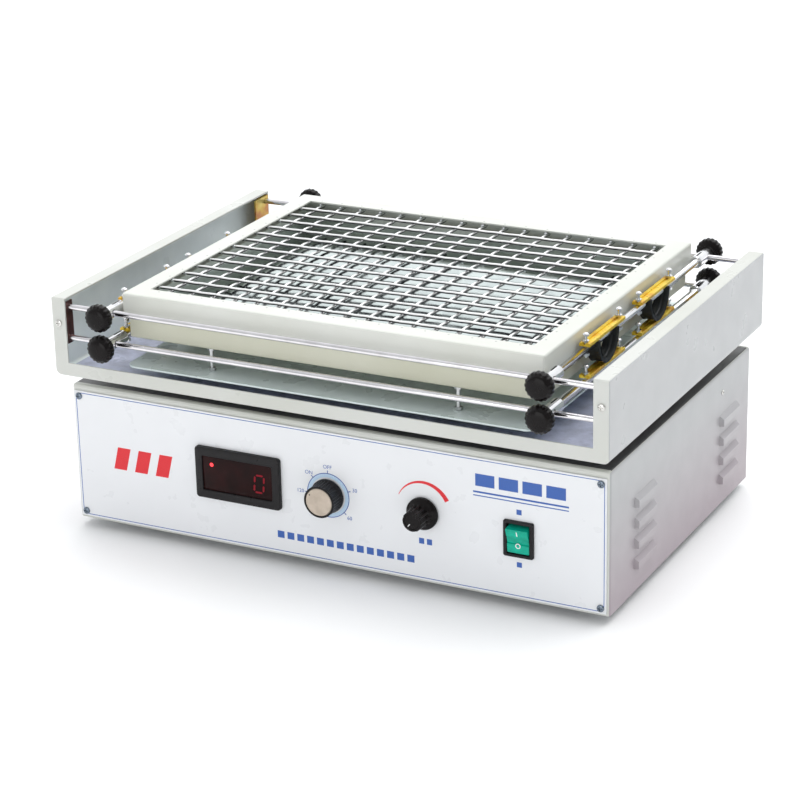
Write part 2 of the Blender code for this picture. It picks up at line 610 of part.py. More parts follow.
def tray_shell():
    """A folded tray: floor, two side walls, and lips turned in along every open edge."""
    half = TRAY_WIDTH / 2
    shell = box((-half, -TRAY_FRONT, TRAY_LOW), (half, TRAY_FRONT, TRAY_HIGH))
    round_long_edges(shell, TRAY_CORNER, TRAY_LOW)
    bevel(shell, 0.9, 1, 60)
    cavity = box((-half + TRAY_SHEET, -TRAY_FRONT + TRAY_SHEET, TRAY_FLOOR),
                 (half - TRAY_SHEET, TRAY_FRONT - TRAY_SHEET, TRAY_HIGH - TRAY_SHEET))
    round_long_edges(cavity, TRAY_CORNER - TRAY_SHEET, TRAY_FLOOR)
    window = box((-half + LIP, -TRAY_FRONT - 5, TRAY_LOW + FLOOR_LIP), (half - LIP, TRAY_FRONT + 5, 250))
    holes = [cylinder((*MAIN_PIN_AT, TRAY_LOW - 5), "Z", 10, 8, 20)]
    holes += [cylinder((x, y, TRAY_LOW - 5), "Z", 10, 7, 20) for x, y in IDLERS.values()]
    holes += [cylinder((x, y, bracket_screw_z()), "Y", 20, 2.2, 12)
              for x in (-243.4, 243.4) for y in (-TRAY_FRONT - 5, TRAY_FRONT - 15)]
    return cut(shell, cavity, window, group(holes))


def round_long_edges(obj, radius, height):
    """Round the two edges that run front to back at a height."""
    bm = bmesh.new()
    bm.from_mesh(obj.data)
    edges = [edge for edge in bm.edges
             if all(abs(vertex.co.z - height * MM) < 1e-6 for vertex in edge.verts)
             and abs(edge.verts[0].co.x - edge.verts[1].co.x) < 1e-6]
    bmesh.ops.bevel(bm, geom=edges, offset=radius * MM, segments=4, profile=0.5, affect="EDGES")
    bm.to_mesh(obj.data)
    bm.free()


def bracket_screw_z():
    return (UPPER_Z + LOWER_Z) / 2


def bearing_carrier():
    """A plate on the tray floor with a boss for each crank pin and pads under the shaker plate."""
    low = TRAY_FLOOR + GAP
    high, pad_top = SHAKER_PLATE_LOW - 1.0, SHAKER_PLATE_LOW - GAP
    front, rear, thick = IDLERS["left"][1], MAIN_PIN_AT[1], 2.4
    plate = box((-172, front - 22, low), (172, front + 22, low + thick))
    joined(plate, box((-28, front, low), (28, rear + 80, low + thick)),
           box((-172, rear + 60, low), (172, rear + 88, low + thick)))
    bosses = [(*MAIN_PIN_AT, 15)] + [(x, y, 12) for x, y in IDLERS.values()]
    joined(plate, *[cylinder((x, y, low + 1), "Z", high - low - 1, radius, 16) for x, y, radius in bosses])
    pads = [(x, y) for x in (-128, 0, 128) for y in (front - 14, rear + 74)]
    joined(plate, *[cylinder((x, y, low + 1), "Z", pad_top - low - 1, 5, 8) for x, y in pads])
    bores = [cylinder((*MAIN_PIN_AT, low - 5), "Z", 30, MAIN_PIN + 2 * GAP, 16)]
    bores += [cylinder((x, y, low - 5), "Z", 30, IDLER_PIN + 2 * GAP, 16) for x, y in IDLERS.values()]
    return cut(plate, group(bores))


def shaker_plate():
    width, depth, _ = SHAKER_PLATE
    plate = box((-width / 2, -depth / 2, SHAKER_PLATE_LOW), (width / 2, depth / 2, SHAKER_PLATE_TOP))
    bm = bmesh.new()
    bm.from_mesh(plate.data)
    upright = [edge for edge in bm.edges if abs(edge.verts[0].co.z - edge.verts[1].co.z) > 1e-6]
    bmesh.ops.bevel(bm, geom=upright, offset=9 * MM, segments=5, profile=0.5, affect="EDGES")
    bm.to_mesh(plate.data)
    bm.free()
    return plate


def rod_bracket(side, end):
    """An angle: one leg behind the tray's folded edge, the other drilled for two rods."""
    low, high = LOWER_Z - 4.5, UPPER_Z + 5.0
    back = end * (TRAY_FRONT - TRAY_SHEET - GAP)
    inner = side * BRACKET_X
    depth = BRACKET_DEPTH["rear" if end > 0 else "front"]
    ends = sorted((back, back - end * depth))
    leg = box((min(inner, inner + side * BRACKET_SHEET), ends[0], low),
              (max(inner, inner + side * BRACKET_SHEET), ends[1], high))
    ends = sorted((back, back - end * BRACKET_SHEET))
    sides = sorted((inner, side * (TRAY_WIDTH / 2 - TRAY_SHEET - 1.0)))
    joined(leg, box((sides[0], ends[0], low), (sides[1], ends[1], high)))
    holes = [cylinder((side * 220 - 20, end * ROD_Y, z), "X", 40, ROD_RADIUS + GAP, 16)
             for z in (UPPER_Z, LOWER_Z)]
    holes.append(cylinder((side * 243.4, back - 10, bracket_screw_z()), "Y", 20, 2.2, 12))
    return cut(leg, group(holes))


def platform_frame():
    """The lid: a rim on top with the side bands folded down from it."""
    low = PLATFORM_TOP - LID_DEPTH
    lid = box((-PLATFORM_HALF_X, -PLATFORM_HALF_Y, low - 5), (PLATFORM_HALF_X, PLATFORM_HALF_Y, PLATFORM_TOP),
              1.6, 2)
    cut(lid, box((-PLATFORM_HALF_X - 5, -PLATFORM_HALF_Y - 5, low - 10),
                 (PLATFORM_HALF_X + 5, PLATFORM_HALF_Y + 5, low)))
    wall_x, wall_y = PLATFORM_HALF_X - SHEET, PLATFORM_HALF_Y - SHEET
    cut(lid, box((-wall_x, -wall_y, low - 5), (wall_x, wall_y, PLATFORM_TOP - SHEET)))
    open_x, open_y = PLATFORM_HALF_X - RIM_X, PLATFORM_HALF_Y - RIM_Y
    return cut(lid, box((-open_x, -open_y, PLATFORM_TOP - 10), (open_x, open_y, PLATFORM_TOP + 10)))


def platform_pan():
    """A raised floor under the mesh with a skirt all round it, just inside the lid's bands, on four studs."""
    half_x, half_y = PLATFORM_HALF_X - PAN_INSET, PLATFORM_HALF_Y - PAN_INSET
    pan = box((-half_x, -half_y, PAN_LOW), (half_x, half_y, PAN_HIGH), 1.2, 1)
    inner_x, inner_y = half_x - SHEET, half_y - SHEET
    cut(pan, box((-inner_x, -inner_y, PAN_FLOOR), (inner_x, inner_y, PAN_HIGH + 5)))
    cut(pan, box((-inner_x, -inner_y, PAN_LOW - 5), (inner_x, inner_y, PAN_FLOOR - SHEET)))
    for x, y in post_places():
        joined(pan, *post(x, y))
    return pan


def wire_mesh():
    """A flat grille under the rim, with a square bar for every second wire of the woven mesh."""
    high = PLATFORM_TOP - SHEET - GAP
    low = high - 4 * WIRE_RADIUS
    reach_x, reach_y = PLATFORM_HALF_X - RIM_X + 8, PLATFORM_HALF_Y - RIM_Y + 8
    columns, rows = bar_edges(WIRES_ALONG, reach_x - 5), bar_edges(WIRES_ACROSS, reach_y - 5)
    holes = [box((left + WIRE_RADIUS, front + WIRE_RADIUS, low - 5),
                 (right - WIRE_RADIUS, rear - WIRE_RADIUS, high + 5))
             for left, right in zip(columns, columns[1:]) for front, rear in zip(rows, rows[1:])]
    return cut(box((-reach_x, -reach_y, low), (reach_x, reach_y, high)), group(holes))


def bar_edges(wires, border):
    """Positions of every second wire, between the two borders."""
    half = (wires - 1) // 2
    return [-border] + [step * MESH_PITCH for step in range(-half, half + 1, 2)] + [border]


def post_places():
    return [(x, y) for x in (-POST_AT[0], POST_AT[0]) for y in (-POST_AT[1], POST_AT[1])]


def post(x, y):
    """A stud under the raised floor, its nut on the plate and a lock nut level with the skirt's edge."""
    low = SHAKER_PLATE_TOP + GAP
    stud = cylinder((x, y, low + 1), "Z", PAN_FLOOR - SHEET / 2 - low - 1, POST_RADIUS, 12)
    foot_nut = cylinder((x, y, low), "Z", 2.6, POST_NUT, 6)
    return stud, foot_nut, cylinder((x, y, PAN_LOW - 2.6), "Z", 3.0, POST_NUT, 6)


CORNERS = {"front_left": (-1, -1), "front_right": (1, -1), "rear_left": (-1, 1), "rear_right": (1, 1)}
part("tray", tray_shell(), "white_enamel", tray)
part("bearing_carrier", bearing_carrier(), "cast_iron", tray)
part("shaker_plate", shaker_plate(), "galvanised", tray)
for corner, (side, end) in CORNERS.items():
    part(f"rod_bracket_{corner}", rod_bracket(side, end), "yellow_zinc", tray)
for level, z in LEVELS.items():
    for end_name, end in ENDS.items():
        rod = cylinder((-ROD_HALF, end * ROD_Y, z), "X", 2 * ROD_HALF, ROD_RADIUS, 16)
        part(f"cross_rod_{end_name}_{level}", rod, "chrome", tray)
part("platform_frame", platform_frame(), "white_enamel", tray)
part("platform_pan", platform_pan(), "white_enamel", tray)
part("wire_mesh", wire_mesh(), "zinc", tray)


# Clamps

def clamp_bar(side_name, x, level):
    """A round bar with a slotted socket on each end, drilled for the bolts of its holders."""
    z, radius = LEVELS[level], BAR_RADIUS[level]
    bar = cylinder((x, -BAR_HALF, z), "Y", 2 * BAR_HALF, radius, 12)
    for end in ENDS.values():
        joined(bar, socket(x, level, end))
    bolts = [centre + spread for centre in HOLDERS[side_name] for spread in (-BOLT_SPREAD, BOLT_SPREAD)]
    return cut(bar, group([cylinder((x, y, z - 8), "Z", 16, BOLT_RADIUS + GAP, 6) for y in bolts]))


def socket(x, level, end):
    """The rod runs across the socket, and the knob's stud enters its open end."""
    z, length = LEVELS[level], SLEEVE_OUT - SLEEVE_IN
    low = min(end * SLEEVE_OUT, end * SLEEVE_IN)
    tube = cylinder((x, low, z), "Y", length, SLEEVE_RADIUS[level], 14)
    rod_back = end * (ROD_Y - ROD_RADIUS - 2)
    mouth = sorted((rod_back, end * (SLEEVE_OUT + 5)))
    bore = cylinder((x, mouth[0], z), "Y", mouth[1] - mouth[0], STUD_RADIUS + 2 * GAP, 8)
    crossing = cylinder((x - 20, end * ROD_Y, z), "X", 40, ROD_RADIUS + 2 * GAP, 8)
    slot_ends = sorted((end * (SLEEVE_IN + 2), end * (SLEEVE_IN + 14)))
    slot = box((x - 0.7, slot_ends[0], z + BAR_RADIUS[level]), (x + 0.7, slot_ends[1], z + 12))
    return cut(tube, bore, crossing, slot)


def vessel_holder(x, centre):
    """A strip on each bar, tied together by two long bolts that pass through both bars."""
    strips = []
    for level, z in LEVELS.items():
        low = z + BAR_RADIUS[level] + GAP
        strips.append(box((x - STRIP_WIDTH / 2, centre - STRIP_LENGTH / 2, low),
                          (x + STRIP_WIDTH / 2, centre + STRIP_LENGTH / 2, low + STRIP_THICK)))
    head = UPPER_Z + BAR_RADIUS["upper"] + GAP + STRIP_THICK + BOLT_RISE
    tip = LOWER_Z - BAR_RADIUS["lower"] - 3.5
    profile = [(0, head), (1.9, head - 0.3), (2.7, head - 1.2), (2.7, head - 2.6), (BOLT_RADIUS, head - 2.6),
               (BOLT_RADIUS, tip), (0, tip)]
    bolts = [turned(profile, (x, centre + spread, 0), sides=8) for spread in (-BOLT_SPREAD, BOLT_SPREAD)]
    return joined(strips[0], bolts[0], strips[1], bolts[1])


def rubber_loop(x, centre):
    """A strap bent into a U between the strips, with the upper bar through both legs."""
    low = LOWER_Z + BAR_RADIUS["lower"] + STRIP_THICK + 2 * GAP + 0.1
    high = UPPER_Z + BAR_RADIUS["upper"]
    bottom_half = 8.0

    def outline(inset):
        """Half width of the U at each height, from the top to the rounded bottom."""
        top, foot = LOOP_HALF - inset, bottom_half - inset * 0.5
        base = low + inset
        rows = [(top, high + (1 if inset else 0)), (top - 1.5, (high + low) / 2 + 2)]
        bend = [(foot + (top - foot - 4) * math.cos(angle), base + 7 - 7 * math.sin(angle))
                for angle in (math.pi * step / 10 for step in range(1, 5))]
        right = rows + bend
        return right + [(-y, z) for y, z in reversed(right)]

    def slab(points, half):
        bm = bmesh.new()
        face = bm.faces.new([bm.verts.new(((x - half) * MM, (centre + y) * MM, z * MM)) for y, z in points])
        extruded = bmesh.ops.extrude_face_region(bm, geom=[face])["geom"]
        moved = [item for item in extruded if isinstance(item, bmesh.types.BMVert)]
        bmesh.ops.translate(bm, vec=(2 * half * MM, 0, 0), verts=moved)
        bmesh.ops.recalc_face_normals(bm, faces=bm.faces)
        return tool(bm)

    strap = slab(outline(0.0), LOOP_WIDTH / 2)
    cut(strap, slab(outline(LOOP_THICK), LOOP_WIDTH / 2 + 3))
    tunnel = cylinder((x, centre - 30, UPPER_Z), "Y", 60, BAR_RADIUS["upper"] + 1.0, 10)
    return cut(strap, tunnel)


def clamp_knob(x, z, end):
    """A fluted, domed knob with the stud that locks the sleeve to the rod."""
    depth, radius = CLAMP_KNOB_DEPTH, CLAMP_KNOB_RADIUS
    profile = [(0, depth), (radius * 0.7, depth - 1.4), (radius, depth - 5.0), (radius, 3.0),
               (radius * 0.55, 0), (STUD_RADIUS, 0), (STUD_RADIUS, -STUD_LENGTH), (0, -STUD_LENGTH)]
    axis = "Y" if end > 0 else "-Y"
    knob = turned(profile, (x, end * (SLEEVE_OUT + GAP), z), axis, 24)
    return fluted(knob, (x, z), 12, radius * 0.9, radius + 1, 0.8)


for side_name, side in (("left", -1), ("right", 1)):
    body, x = clamps[side_name], side * BAR_X
    for level, z in LEVELS.items():
        part(f"clamp_bar_{side_name}_{level}", clamp_bar(side_name, x, level), "chrome", body)
        for end_name, end in ENDS.items():
            name = f"clamp_knob_{side_name}_{end_name}_{level}"
            knob_pivot = pivot(name + "_body", (x, end * (SLEEVE_OUT + GAP), z), body)
            part(name, clamp_knob(x, z, end), "black_plastic", knob_pivot)
    for end_name, centre in zip(ENDS, HOLDERS[side_name]):
        part(f"vessel_holder_{side_name}_{end_name}", vessel_holder(x, centre), "yellow_zinc", body)
        part(f"rubber_loop_{side_name}_{end_name}", rubber_loop(x, centre), "rubber", body)

bpy.data.collections.remove(cutters)
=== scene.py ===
"""Looks of the benchtop orbital shaker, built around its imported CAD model.

Lengths are millimetres and become metres when a piece is finished. +Z is up and the control panel faces -Y.
"""
import json
import math
import random

import bmesh
import bpy
from mathutils import Matrix, Vector


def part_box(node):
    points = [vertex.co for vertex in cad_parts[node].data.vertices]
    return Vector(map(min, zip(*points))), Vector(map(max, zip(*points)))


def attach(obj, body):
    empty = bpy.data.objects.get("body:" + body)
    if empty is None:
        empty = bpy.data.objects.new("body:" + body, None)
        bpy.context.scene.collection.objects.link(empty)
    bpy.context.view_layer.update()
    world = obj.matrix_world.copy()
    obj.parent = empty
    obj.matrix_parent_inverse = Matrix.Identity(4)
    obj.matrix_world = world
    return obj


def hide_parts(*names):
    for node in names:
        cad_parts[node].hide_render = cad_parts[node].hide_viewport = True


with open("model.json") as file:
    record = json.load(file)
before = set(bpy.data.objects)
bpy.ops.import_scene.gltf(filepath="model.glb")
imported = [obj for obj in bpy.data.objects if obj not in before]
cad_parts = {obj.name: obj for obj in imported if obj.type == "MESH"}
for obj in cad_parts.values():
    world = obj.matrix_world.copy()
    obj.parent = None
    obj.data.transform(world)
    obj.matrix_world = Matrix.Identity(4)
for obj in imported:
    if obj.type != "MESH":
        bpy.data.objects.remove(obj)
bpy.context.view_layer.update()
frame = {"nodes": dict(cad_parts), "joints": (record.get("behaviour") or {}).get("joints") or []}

MM = 0.001
NODES = frame["nodes"]
JOINTS = {joint["name"]: joint for joint in frame["joints"]}
SIDES = {"left": -1, "right": 1}
ENDS = {"front": -1, "rear": 1}
LEVELS = ("upper", "lower")
CORNERS = [(f"{end}_{side}", SIDES[side], ENDS[end]) for end in ENDS for side in SIDES]
X, Y, Z = Vector((1, 0, 0)), Vector((0, 1, 0)), Vector((0, 0, 1))
TURN_TO = {"X": Matrix.Rotation(math.pi / 2, 4, "Y"), "Y": Matrix.Rotation(-math.pi / 2, 4, "X"),
           "-Y": Matrix.Rotation(math.pi / 2, 4, "X"), "Z": Matrix.Identity(4),
           "-Z": Matrix.Rotation(math.pi, 4, "X")}
FACING = {1: "Y", -1: "-Y"}                    # the axis that points out of the rear and of the front


def corners_of(node):
    """Lowest and highest corner of a CAD node, in millimetres."""
    low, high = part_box(node)
    return low / MM, high / MM


def joint_at(name):
    return Vector(JOINTS[name]["pos_m"]) / MM


# Camera

CAMERA_TARGET = Vector((-0.0230, 0.0154, 0.0879))
CAMERA_DISTANCE, CAMERA_FOCAL, SENSOR = 2.2824, 118.6, 36.0
CAMERA_AZIMUTH, CAMERA_ELEVATION, CAMERA_ROLL = (math.radians(angle) for angle in (27.34, 20.89, -1.35))


def add_camera():
    level = math.cos(CAMERA_ELEVATION)
    back = Vector((math.sin(CAMERA_AZIMUTH) * level, -math.cos(CAMERA_AZIMUTH) * level,
                   math.sin(CAMERA_ELEVATION)))
    right = Vector((math.cos(CAMERA_AZIMUTH), math.sin(CAMERA_AZIMUTH), 0))
    up = back.cross(right)
    tilted_right = math.cos(CAMERA_ROLL) * right + math.sin(CAMERA_ROLL) * up
    tilted_up = math.cos(CAMERA_ROLL) * up - math.sin(CAMERA_ROLL) * right
    camera = bpy.data.objects.new("camera", bpy.data.cameras.new("camera"))
    camera.data.lens = CAMERA_FOCAL
    camera.data.sensor_width = SENSOR
    turn = Matrix((tilted_right, tilted_up, back)).transposed().to_4x4()
    camera.matrix_world = Matrix.Translation(CAMERA_TARGET + back * CAMERA_DISTANCE) @ turn
    bpy.context.scene.collection.objects.link(camera)
    bpy.context.scene.camera = camera


add_camera()


# Sizes of the platform's mesh

MESH_PITCH, WIRES_ALONG, WIRES_ACROSS = 20.35, 17, 13
RIM_X, RIM_Y = 17.0, 18.0                      # width of the rim at the sides and at the ends
DIMPLE_OUT, DIMPLE_RADIUS = 3.4, 0.8


# Materials

class Look:
    """A Principled material with patterns placed in the piece's own metres."""

    def __init__(self, name, colour, roughness, metallic=0.0, **sockets):
        self.material = bpy.data.materials.new(name)
        self.material.use_nodes = True
        self.tree = self.material.node_tree
        self.shader = self.tree.nodes["Principled BSDF"]
        self.colour = colour
        self.set("Base Color", (*colour, 1))
        self.set("Roughness", roughness)
        self.set("Metallic", metallic)
        for socket, value in sockets.items():
            self.set(socket.replace("_", " "), value)
        self.place = self.add("TexCoord").outputs["Object"]
        self.normal = None

    def set(self, socket, value):
        self.shader.inputs[socket].default_value = value

    def add(self, kind, **settings):
        node = self.tree.nodes.new("ShaderNode" + kind)
        for setting, value in settings.items():
            setattr(node, setting, value)
        return node

    def link(self, output, socket):
        self.tree.links.new(output, socket)

    def stretched(self, scale):
        mapping = self.add("Mapping")
        mapping.inputs["Scale"].default_value = scale
        self.link(self.place, mapping.inputs["Vector"])
        return mapping.outputs["Vector"]

    def noise(self, scale, detail=2.0, roughness=0.5, stretch=None):
        node = self.add("TexNoise")
        self.link(self.stretched(stretch) if stretch else self.place, node.inputs["Vector"])
        node.inputs["Scale"].default_value = scale
        node.inputs["Detail"].default_value = detail
        node.inputs["Roughness"].default_value = roughness
        return node.outputs["Fac"]

    def cells(self, scale):
        """A random colour in each cell."""
        node = self.add("TexVoronoi")
        self.link(self.place, node.inputs["Vector"])
        node.inputs["Scale"].default_value = scale
        return node.outputs["Color"]

    def rings(self, centre, scale):
        """Concentric rings about a Y axis through centre, which is in millimetres."""
        mapping = self.add("Mapping")
        mapping.inputs["Location"].default_value = [-value * MM for value in centre]
        self.link(self.place, mapping.inputs["Vector"])
        wave = self.add("TexWave", wave_type="RINGS", rings_direction="Y")
        self.link(mapping.outputs["Vector"], wave.inputs["Vector"])
        wave.inputs["Scale"].default_value = scale
        wave.inputs["Distortion"].default_value = 0.6
        return wave.outputs["Fac"]

    def axes(self):
        """The X, Y and Z of the place, in metres."""
        split = self.add("SeparateXYZ")
        self.link(self.place, split.inputs[0])
        return split.outputs

    def math(self, operation, *values):
        node = self.add("Math", operation=operation)
        for socket, value in zip(node.inputs, values):
            if isinstance(value, (int, float)):
                socket.default_value = value
            else:
                self.link(value, socket)
        return node.outputs[0]

    def between(self, value, low, high):
        """1 where value lies between low and high, else 0."""
        above = self.math("GREATER_THAN", value, low)
        below = self.math("LESS_THAN", value, high)
        return self.math("MULTIPLY", above, below)

    def inside(self, low, high):
        """1 inside a box given in millimetres, else 0."""
        axes = self.axes()
        masks = [self.between(axes[axis], low[axis] * MM, high[axis] * MM) for axis in range(3)]
        return self.math("MULTIPLY", self.math("MULTIPLY", masks[0], masks[1]), masks[2])

    def ramp(self, fac, *stops):
        node = self.add("ValToRGB")
        self.link(fac, node.inputs["Fac"])
        first, last = stops[0], stops[-1]
        node.color_ramp.elements[0].position, node.color_ramp.elements[0].color = first[0], (*first[1], 1)
        node.color_ramp.elements[1].position, node.color_ramp.elements[1].color = last[0], (*last[1], 1)
        for position, colour in stops[1:-1]:
            node.color_ramp.elements.new(position).color = (*colour, 1)
        return node.outputs["Color"]

    def mix(self, fac, first, second):
        node = self.add("Mix", data_type="RGBA")
        self.link(fac, node.inputs[0])
        for socket, value in ((node.inputs[6], first), (node.inputs[7], second)):
            if isinstance(value, (tuple, list)):
                socket.default_value = (*value, 1)
            else:
                self.link(value, socket)
        return node.outputs[2]

    def spread(self, fac, low, high):
        """Map a 0.3 to 0.7 pattern onto a range of values."""
        node = self.add("MapRange")
        self.link(fac, node.inputs["Value"])
        node.inputs["From Min"].default_value = 0.3
        node.inputs["From Max"].default_value = 0.7
        node.inputs["To Min"].default_value = low
        node.inputs["To Max"].default_value = high
        return node.outputs["Result"]

    def drift(self, scale, detail, low, high, start=0.3):
        """A colour that noise moves from low to high."""
        return self.ramp(self.noise(scale, detail), (start, low), (1 - start, high))

    def paint(self, output):
        self.link(output, self.shader.inputs["Base Color"])
        return self

    def gloss(self, output):
        self.link(output, self.shader.inputs["Roughness"])
        return self

    def worn(self, scale, detail, low, high):
        """Roughness that noise moves from low to high."""
        return self.gloss(self.spread(self.noise(scale, detail), low, high))

    def bump(self, height, strength, distance):
        node = self.add("Bump")
        node.inputs["Strength"].default_value = strength
        node.inputs["Distance"].default_value = distance
        self.link(height, node.inputs["Height"])
        if self.normal:
            self.link(self.normal, node.inputs["Normal"])
        self.normal = node.outputs["Normal"]
        self.link(self.normal, self.shader.inputs["Normal"])
        return self


def shade(colour, factor):
    return tuple(min(1.0, channel * factor) for channel in colour)


def enamel(look, side, grey, tint):
    """Baked enamel of uneven tint; beyond side, in millimetres, it is painted shade: grey, turning to tint
    downward.
    """
    axes = look.axes()
    # Painted shade: beyond side the enamel is grey, and downward it turns to tint.
    outer = look.math("GREATER_THAN", look.math("ABSOLUTE", axes[0]), side * MM)
    downward_side_shade = look.math("MULTIPLY", look.math("SUBTRACT", SIDE_SHADE_BELOW, axes[2]), SIDE_SHADE_RATE)
    front = look.drift(7, 3, shade(ENAMEL_AGED, CASE_DULLED), shade(ENAMEL, CASE_DULLED), 0.35)
    return look.mix(outer, front, look.ramp(downward_side_shade, (0.1, grey), (0.7, tint)))


def cabinet_look():
    look = Look("cabinet_enamel", ENAMEL, 0.36, Coat_Weight=0.15, Coat_Roughness=0.2)
    side = corners_of("bottom_plate")[1].x + 0.6
    low, high = corners_of("cabinet_shell")
    # Painted shadow: the case's top face under the tray is coloured near-black as the shade the tray casts on
    # it.
    painted_shadow_under_tray = look.inside((low.x + 5, low.y + 5, high.z - 0.6), (high.x - 5, high.y - 5, high.z + 1))
    # Painted shade: the case's sides are grey, turning darker and pinker towards the bottom.
    painted = enamel(look, side, shade(SIDE_SHADE_GREY, 0.92), (0.37, 0.31, 0.34))
    look.paint(look.mix(painted_shadow_under_tray, painted, (0.05, 0.05, 0.055)))
    return look.worn(45, 3, 0.30, 0.42)


def polished(name, colour, roughness, stretch):
    """Plated or drawn round stock, its gloss varying in lines along its length."""
    look = Look(name, colour, roughness, 1.0)
    look.paint(look.drift(60, 3, shade(colour, 0.82), colour))
    return look.gloss(look.spread(look.noise(300, 2, stretch=stretch), roughness * 0.8, roughness * 1.3))


def plastic(name, colour, roughness, grain=0.06, **sockets):
    look = Look(name, colour, roughness, **sockets)
    look.paint(look.drift(120, 2, shade(colour, 0.8), shade(colour, 1.15)))
    look.worn(260, 3, roughness * 0.75, roughness * 1.3)
    return look.bump(look.noise(2200, 2), grain, 0.0001)


def ink(name, colour):
    look = Look(name, colour, 0.38)
    look.paint(look.drift(1500, 2, shade(colour, 0.85), shade(colour, 1.1), 0.25))
    return look.worn(300, 2, 0.32, 0.46)


# SIDE_SHADE_GREY is painted shade: the grey of the case's and tray's sides, which lie in shade.
ENAMEL, ENAMEL_AGED, SIDE_SHADE_GREY = (0.71, 0.72, 0.68), (0.64, 0.65, 0.59), (0.44, 0.45, 0.455)
# TRAY_WALL_REFLECTION is painted light and reflection: the tray's inside enamel drawn lighter and grey-green,
# as the galvanised plate mirrored in it.
TRAY_WALL_REFLECTION, TRAY_FLOOR = (0.82, 0.89, 0.87), (0.52, 0.54, 0.68)
CASE_DULLED = 0.86                             # the case's and tray's enamel against the platform's
SIDE_SHADE_BELOW, SIDE_SHADE_RATE = 0.13, 6.0              # metres up that the painted side shade deepens down from, and its rate

LOOKS = {
    "chrome": polished("chrome_rod", (0.80, 0.78, 0.80), 0.10, (0.03, 1, 1)),
    "chrome_bar": polished("chrome_bar", (0.84, 0.84, 0.85), 0.13, (1, 0.03, 1)),
    "zinc": polished("zinc_plate", (0.66, 0.68, 0.69), 0.30, (1, 1, 1)),
    "steel": polished("turned_steel", (0.50, 0.50, 0.51), 0.30, (1, 1, 0.05)),
    "screw": polished("nickel_screw", (0.70, 0.69, 0.66), 0.22, (1, 1, 1)),
    "dark_screw": polished("blued_screw", (0.20, 0.24, 0.29), 0.24, (1, 1, 1)),
    "black": plastic("black_moulding", (0.010, 0.009, 0.010), 0.34, Specular_IOR_Level=0.25),
    "bakelite": plastic("bakelite_knob", (0.006, 0.0045, 0.0045), 0.22, 0.02, Specular_IOR_Level=0.16),
    "rubber": plastic("black_rubber", (0.018, 0.022, 0.024), 0.52, 0.25),
    "lens": plastic("green_lens", (0.003, 0.40, 0.27), 0.2, 0.02, Specular_IOR_Level=0.25),
    "blue": ink("blue_ink", (0.035, 0.115, 0.42)),
    "pale": ink("pale_blue_ink", (0.55, 0.72, 0.90)),
    "red": ink("red_ink", (0.74, 0.012, 0.022)),
    "white": ink("white_ink", (0.85, 0.87, 0.86)),
    "board": plastic("solder_mask", (0.015, 0.15, 0.06), 0.35),
}


def panel_look():
    """Printed sheet on the front, its tint drifting a little."""
    colour = (0.81, 0.82, 0.84)
    look = Look("panel_sheet", colour, 0.30, Coat_Weight=0.2, Coat_Roughness=0.12)
    look.paint(look.drift(9, 2, shade(colour, 0.975), colour))
    return look.worn(60, 3, 0.26, 0.36)


def rim_look():
    """Enamel with a dark dot painted as the shade in the small dimple over the weld at each wire's end."""
    look = Look("platform_enamel", ENAMEL, 0.34, Coat_Weight=0.25, Coat_Roughness=0.18)
    high = corners_of("platform_frame")[1]
    axes = look.axes()
    pitch = MESH_PITCH * MM
    dimple_shades = []
    for along, across, line, reach in ((0, 1, high.y - RIM_Y + DIMPLE_OUT, WIRES_ALONG),
                                       (1, 0, high.x - RIM_X + DIMPLE_OUT, WIRES_ACROSS)):
        run = look.math("PINGPONG", axes[along], pitch / 2)
        here = look.math("SUBTRACT", look.math("ABSOLUTE", axes[across]), line * MM)
        squares = [look.math("POWER", offset, 2.0) for offset in (run, here)]
        apart = look.math("SQRT", look.math("ADD", *squares))
        within = look.math("LESS_THAN", look.math("ABSOLUTE", axes[along]), (reach / 2) * pitch)
        dimple_shades.append(look.math("MULTIPLY", within, look.math("LESS_THAN", apart, DIMPLE_RADIUS * MM)))
    # Painted shade: the dimples are dark spots of colour, not dents in the shape.
    dimple_shade = look.math("MAXIMUM", *dimple_shades)
    enamelled = look.drift(7, 3, ENAMEL_AGED, ENAMEL, 0.35)
    look.paint(look.mix(dimple_shade, enamelled, shade(ENAMEL, 0.42)))
    return look.worn(45, 3, 0.28, 0.42)


def tray_look():
    """Enamel outside, grey on the side walls as painted shade; inside, enamel painted lighter and grey-green
    as the reflection of the plate; and a scuffed bluish floor.
    """
    low, high = corners_of("tray")
    wall, skin = 1.4, 0.3
    look = Look("tray_sheet", ENAMEL, 0.34, Coat_Weight=0.2, Coat_Roughness=0.2)
    inner_low = (low.x + wall, low.y + wall, low.z + wall)
    inside = look.inside(inner_low, (high.x - wall, high.y - wall, high.z - wall))
    floor = look.inside(inner_low, (high.x - wall, high.y - wall, inner_low[2] + skin))
    # Painted shade: the tray's outer side walls are grey.
    enamelled = enamel(look, high.x - 0.6, SIDE_SHADE_GREY, SIDE_SHADE_GREY)
    # Painted reflection: the inside walls are lighter than the enamel and grey-green, as the plate's
    # reflection on them.
    walls = look.drift(30, 4, shade(TRAY_WALL_REFLECTION, 0.94), shade(TRAY_WALL_REFLECTION, 1.06))
    mottled = look.ramp(look.noise(55, 5, 0.62), (0.32, shade(TRAY_FLOOR, 0.70)), (0.5, TRAY_FLOOR),
                        (0.68, shade(TRAY_FLOOR, 1.22)))
    look.paint(look.mix(floor, look.mix(inside, enamelled, walls), mottled))
    return look.worn(45, 3, 0.26, 0.42)


PAN_DEPTH, FLOOR_DROP = 27.5, 10.0             # of the skirt and the floor, below the upper edge of the walls
PAN_WALL = 1.2


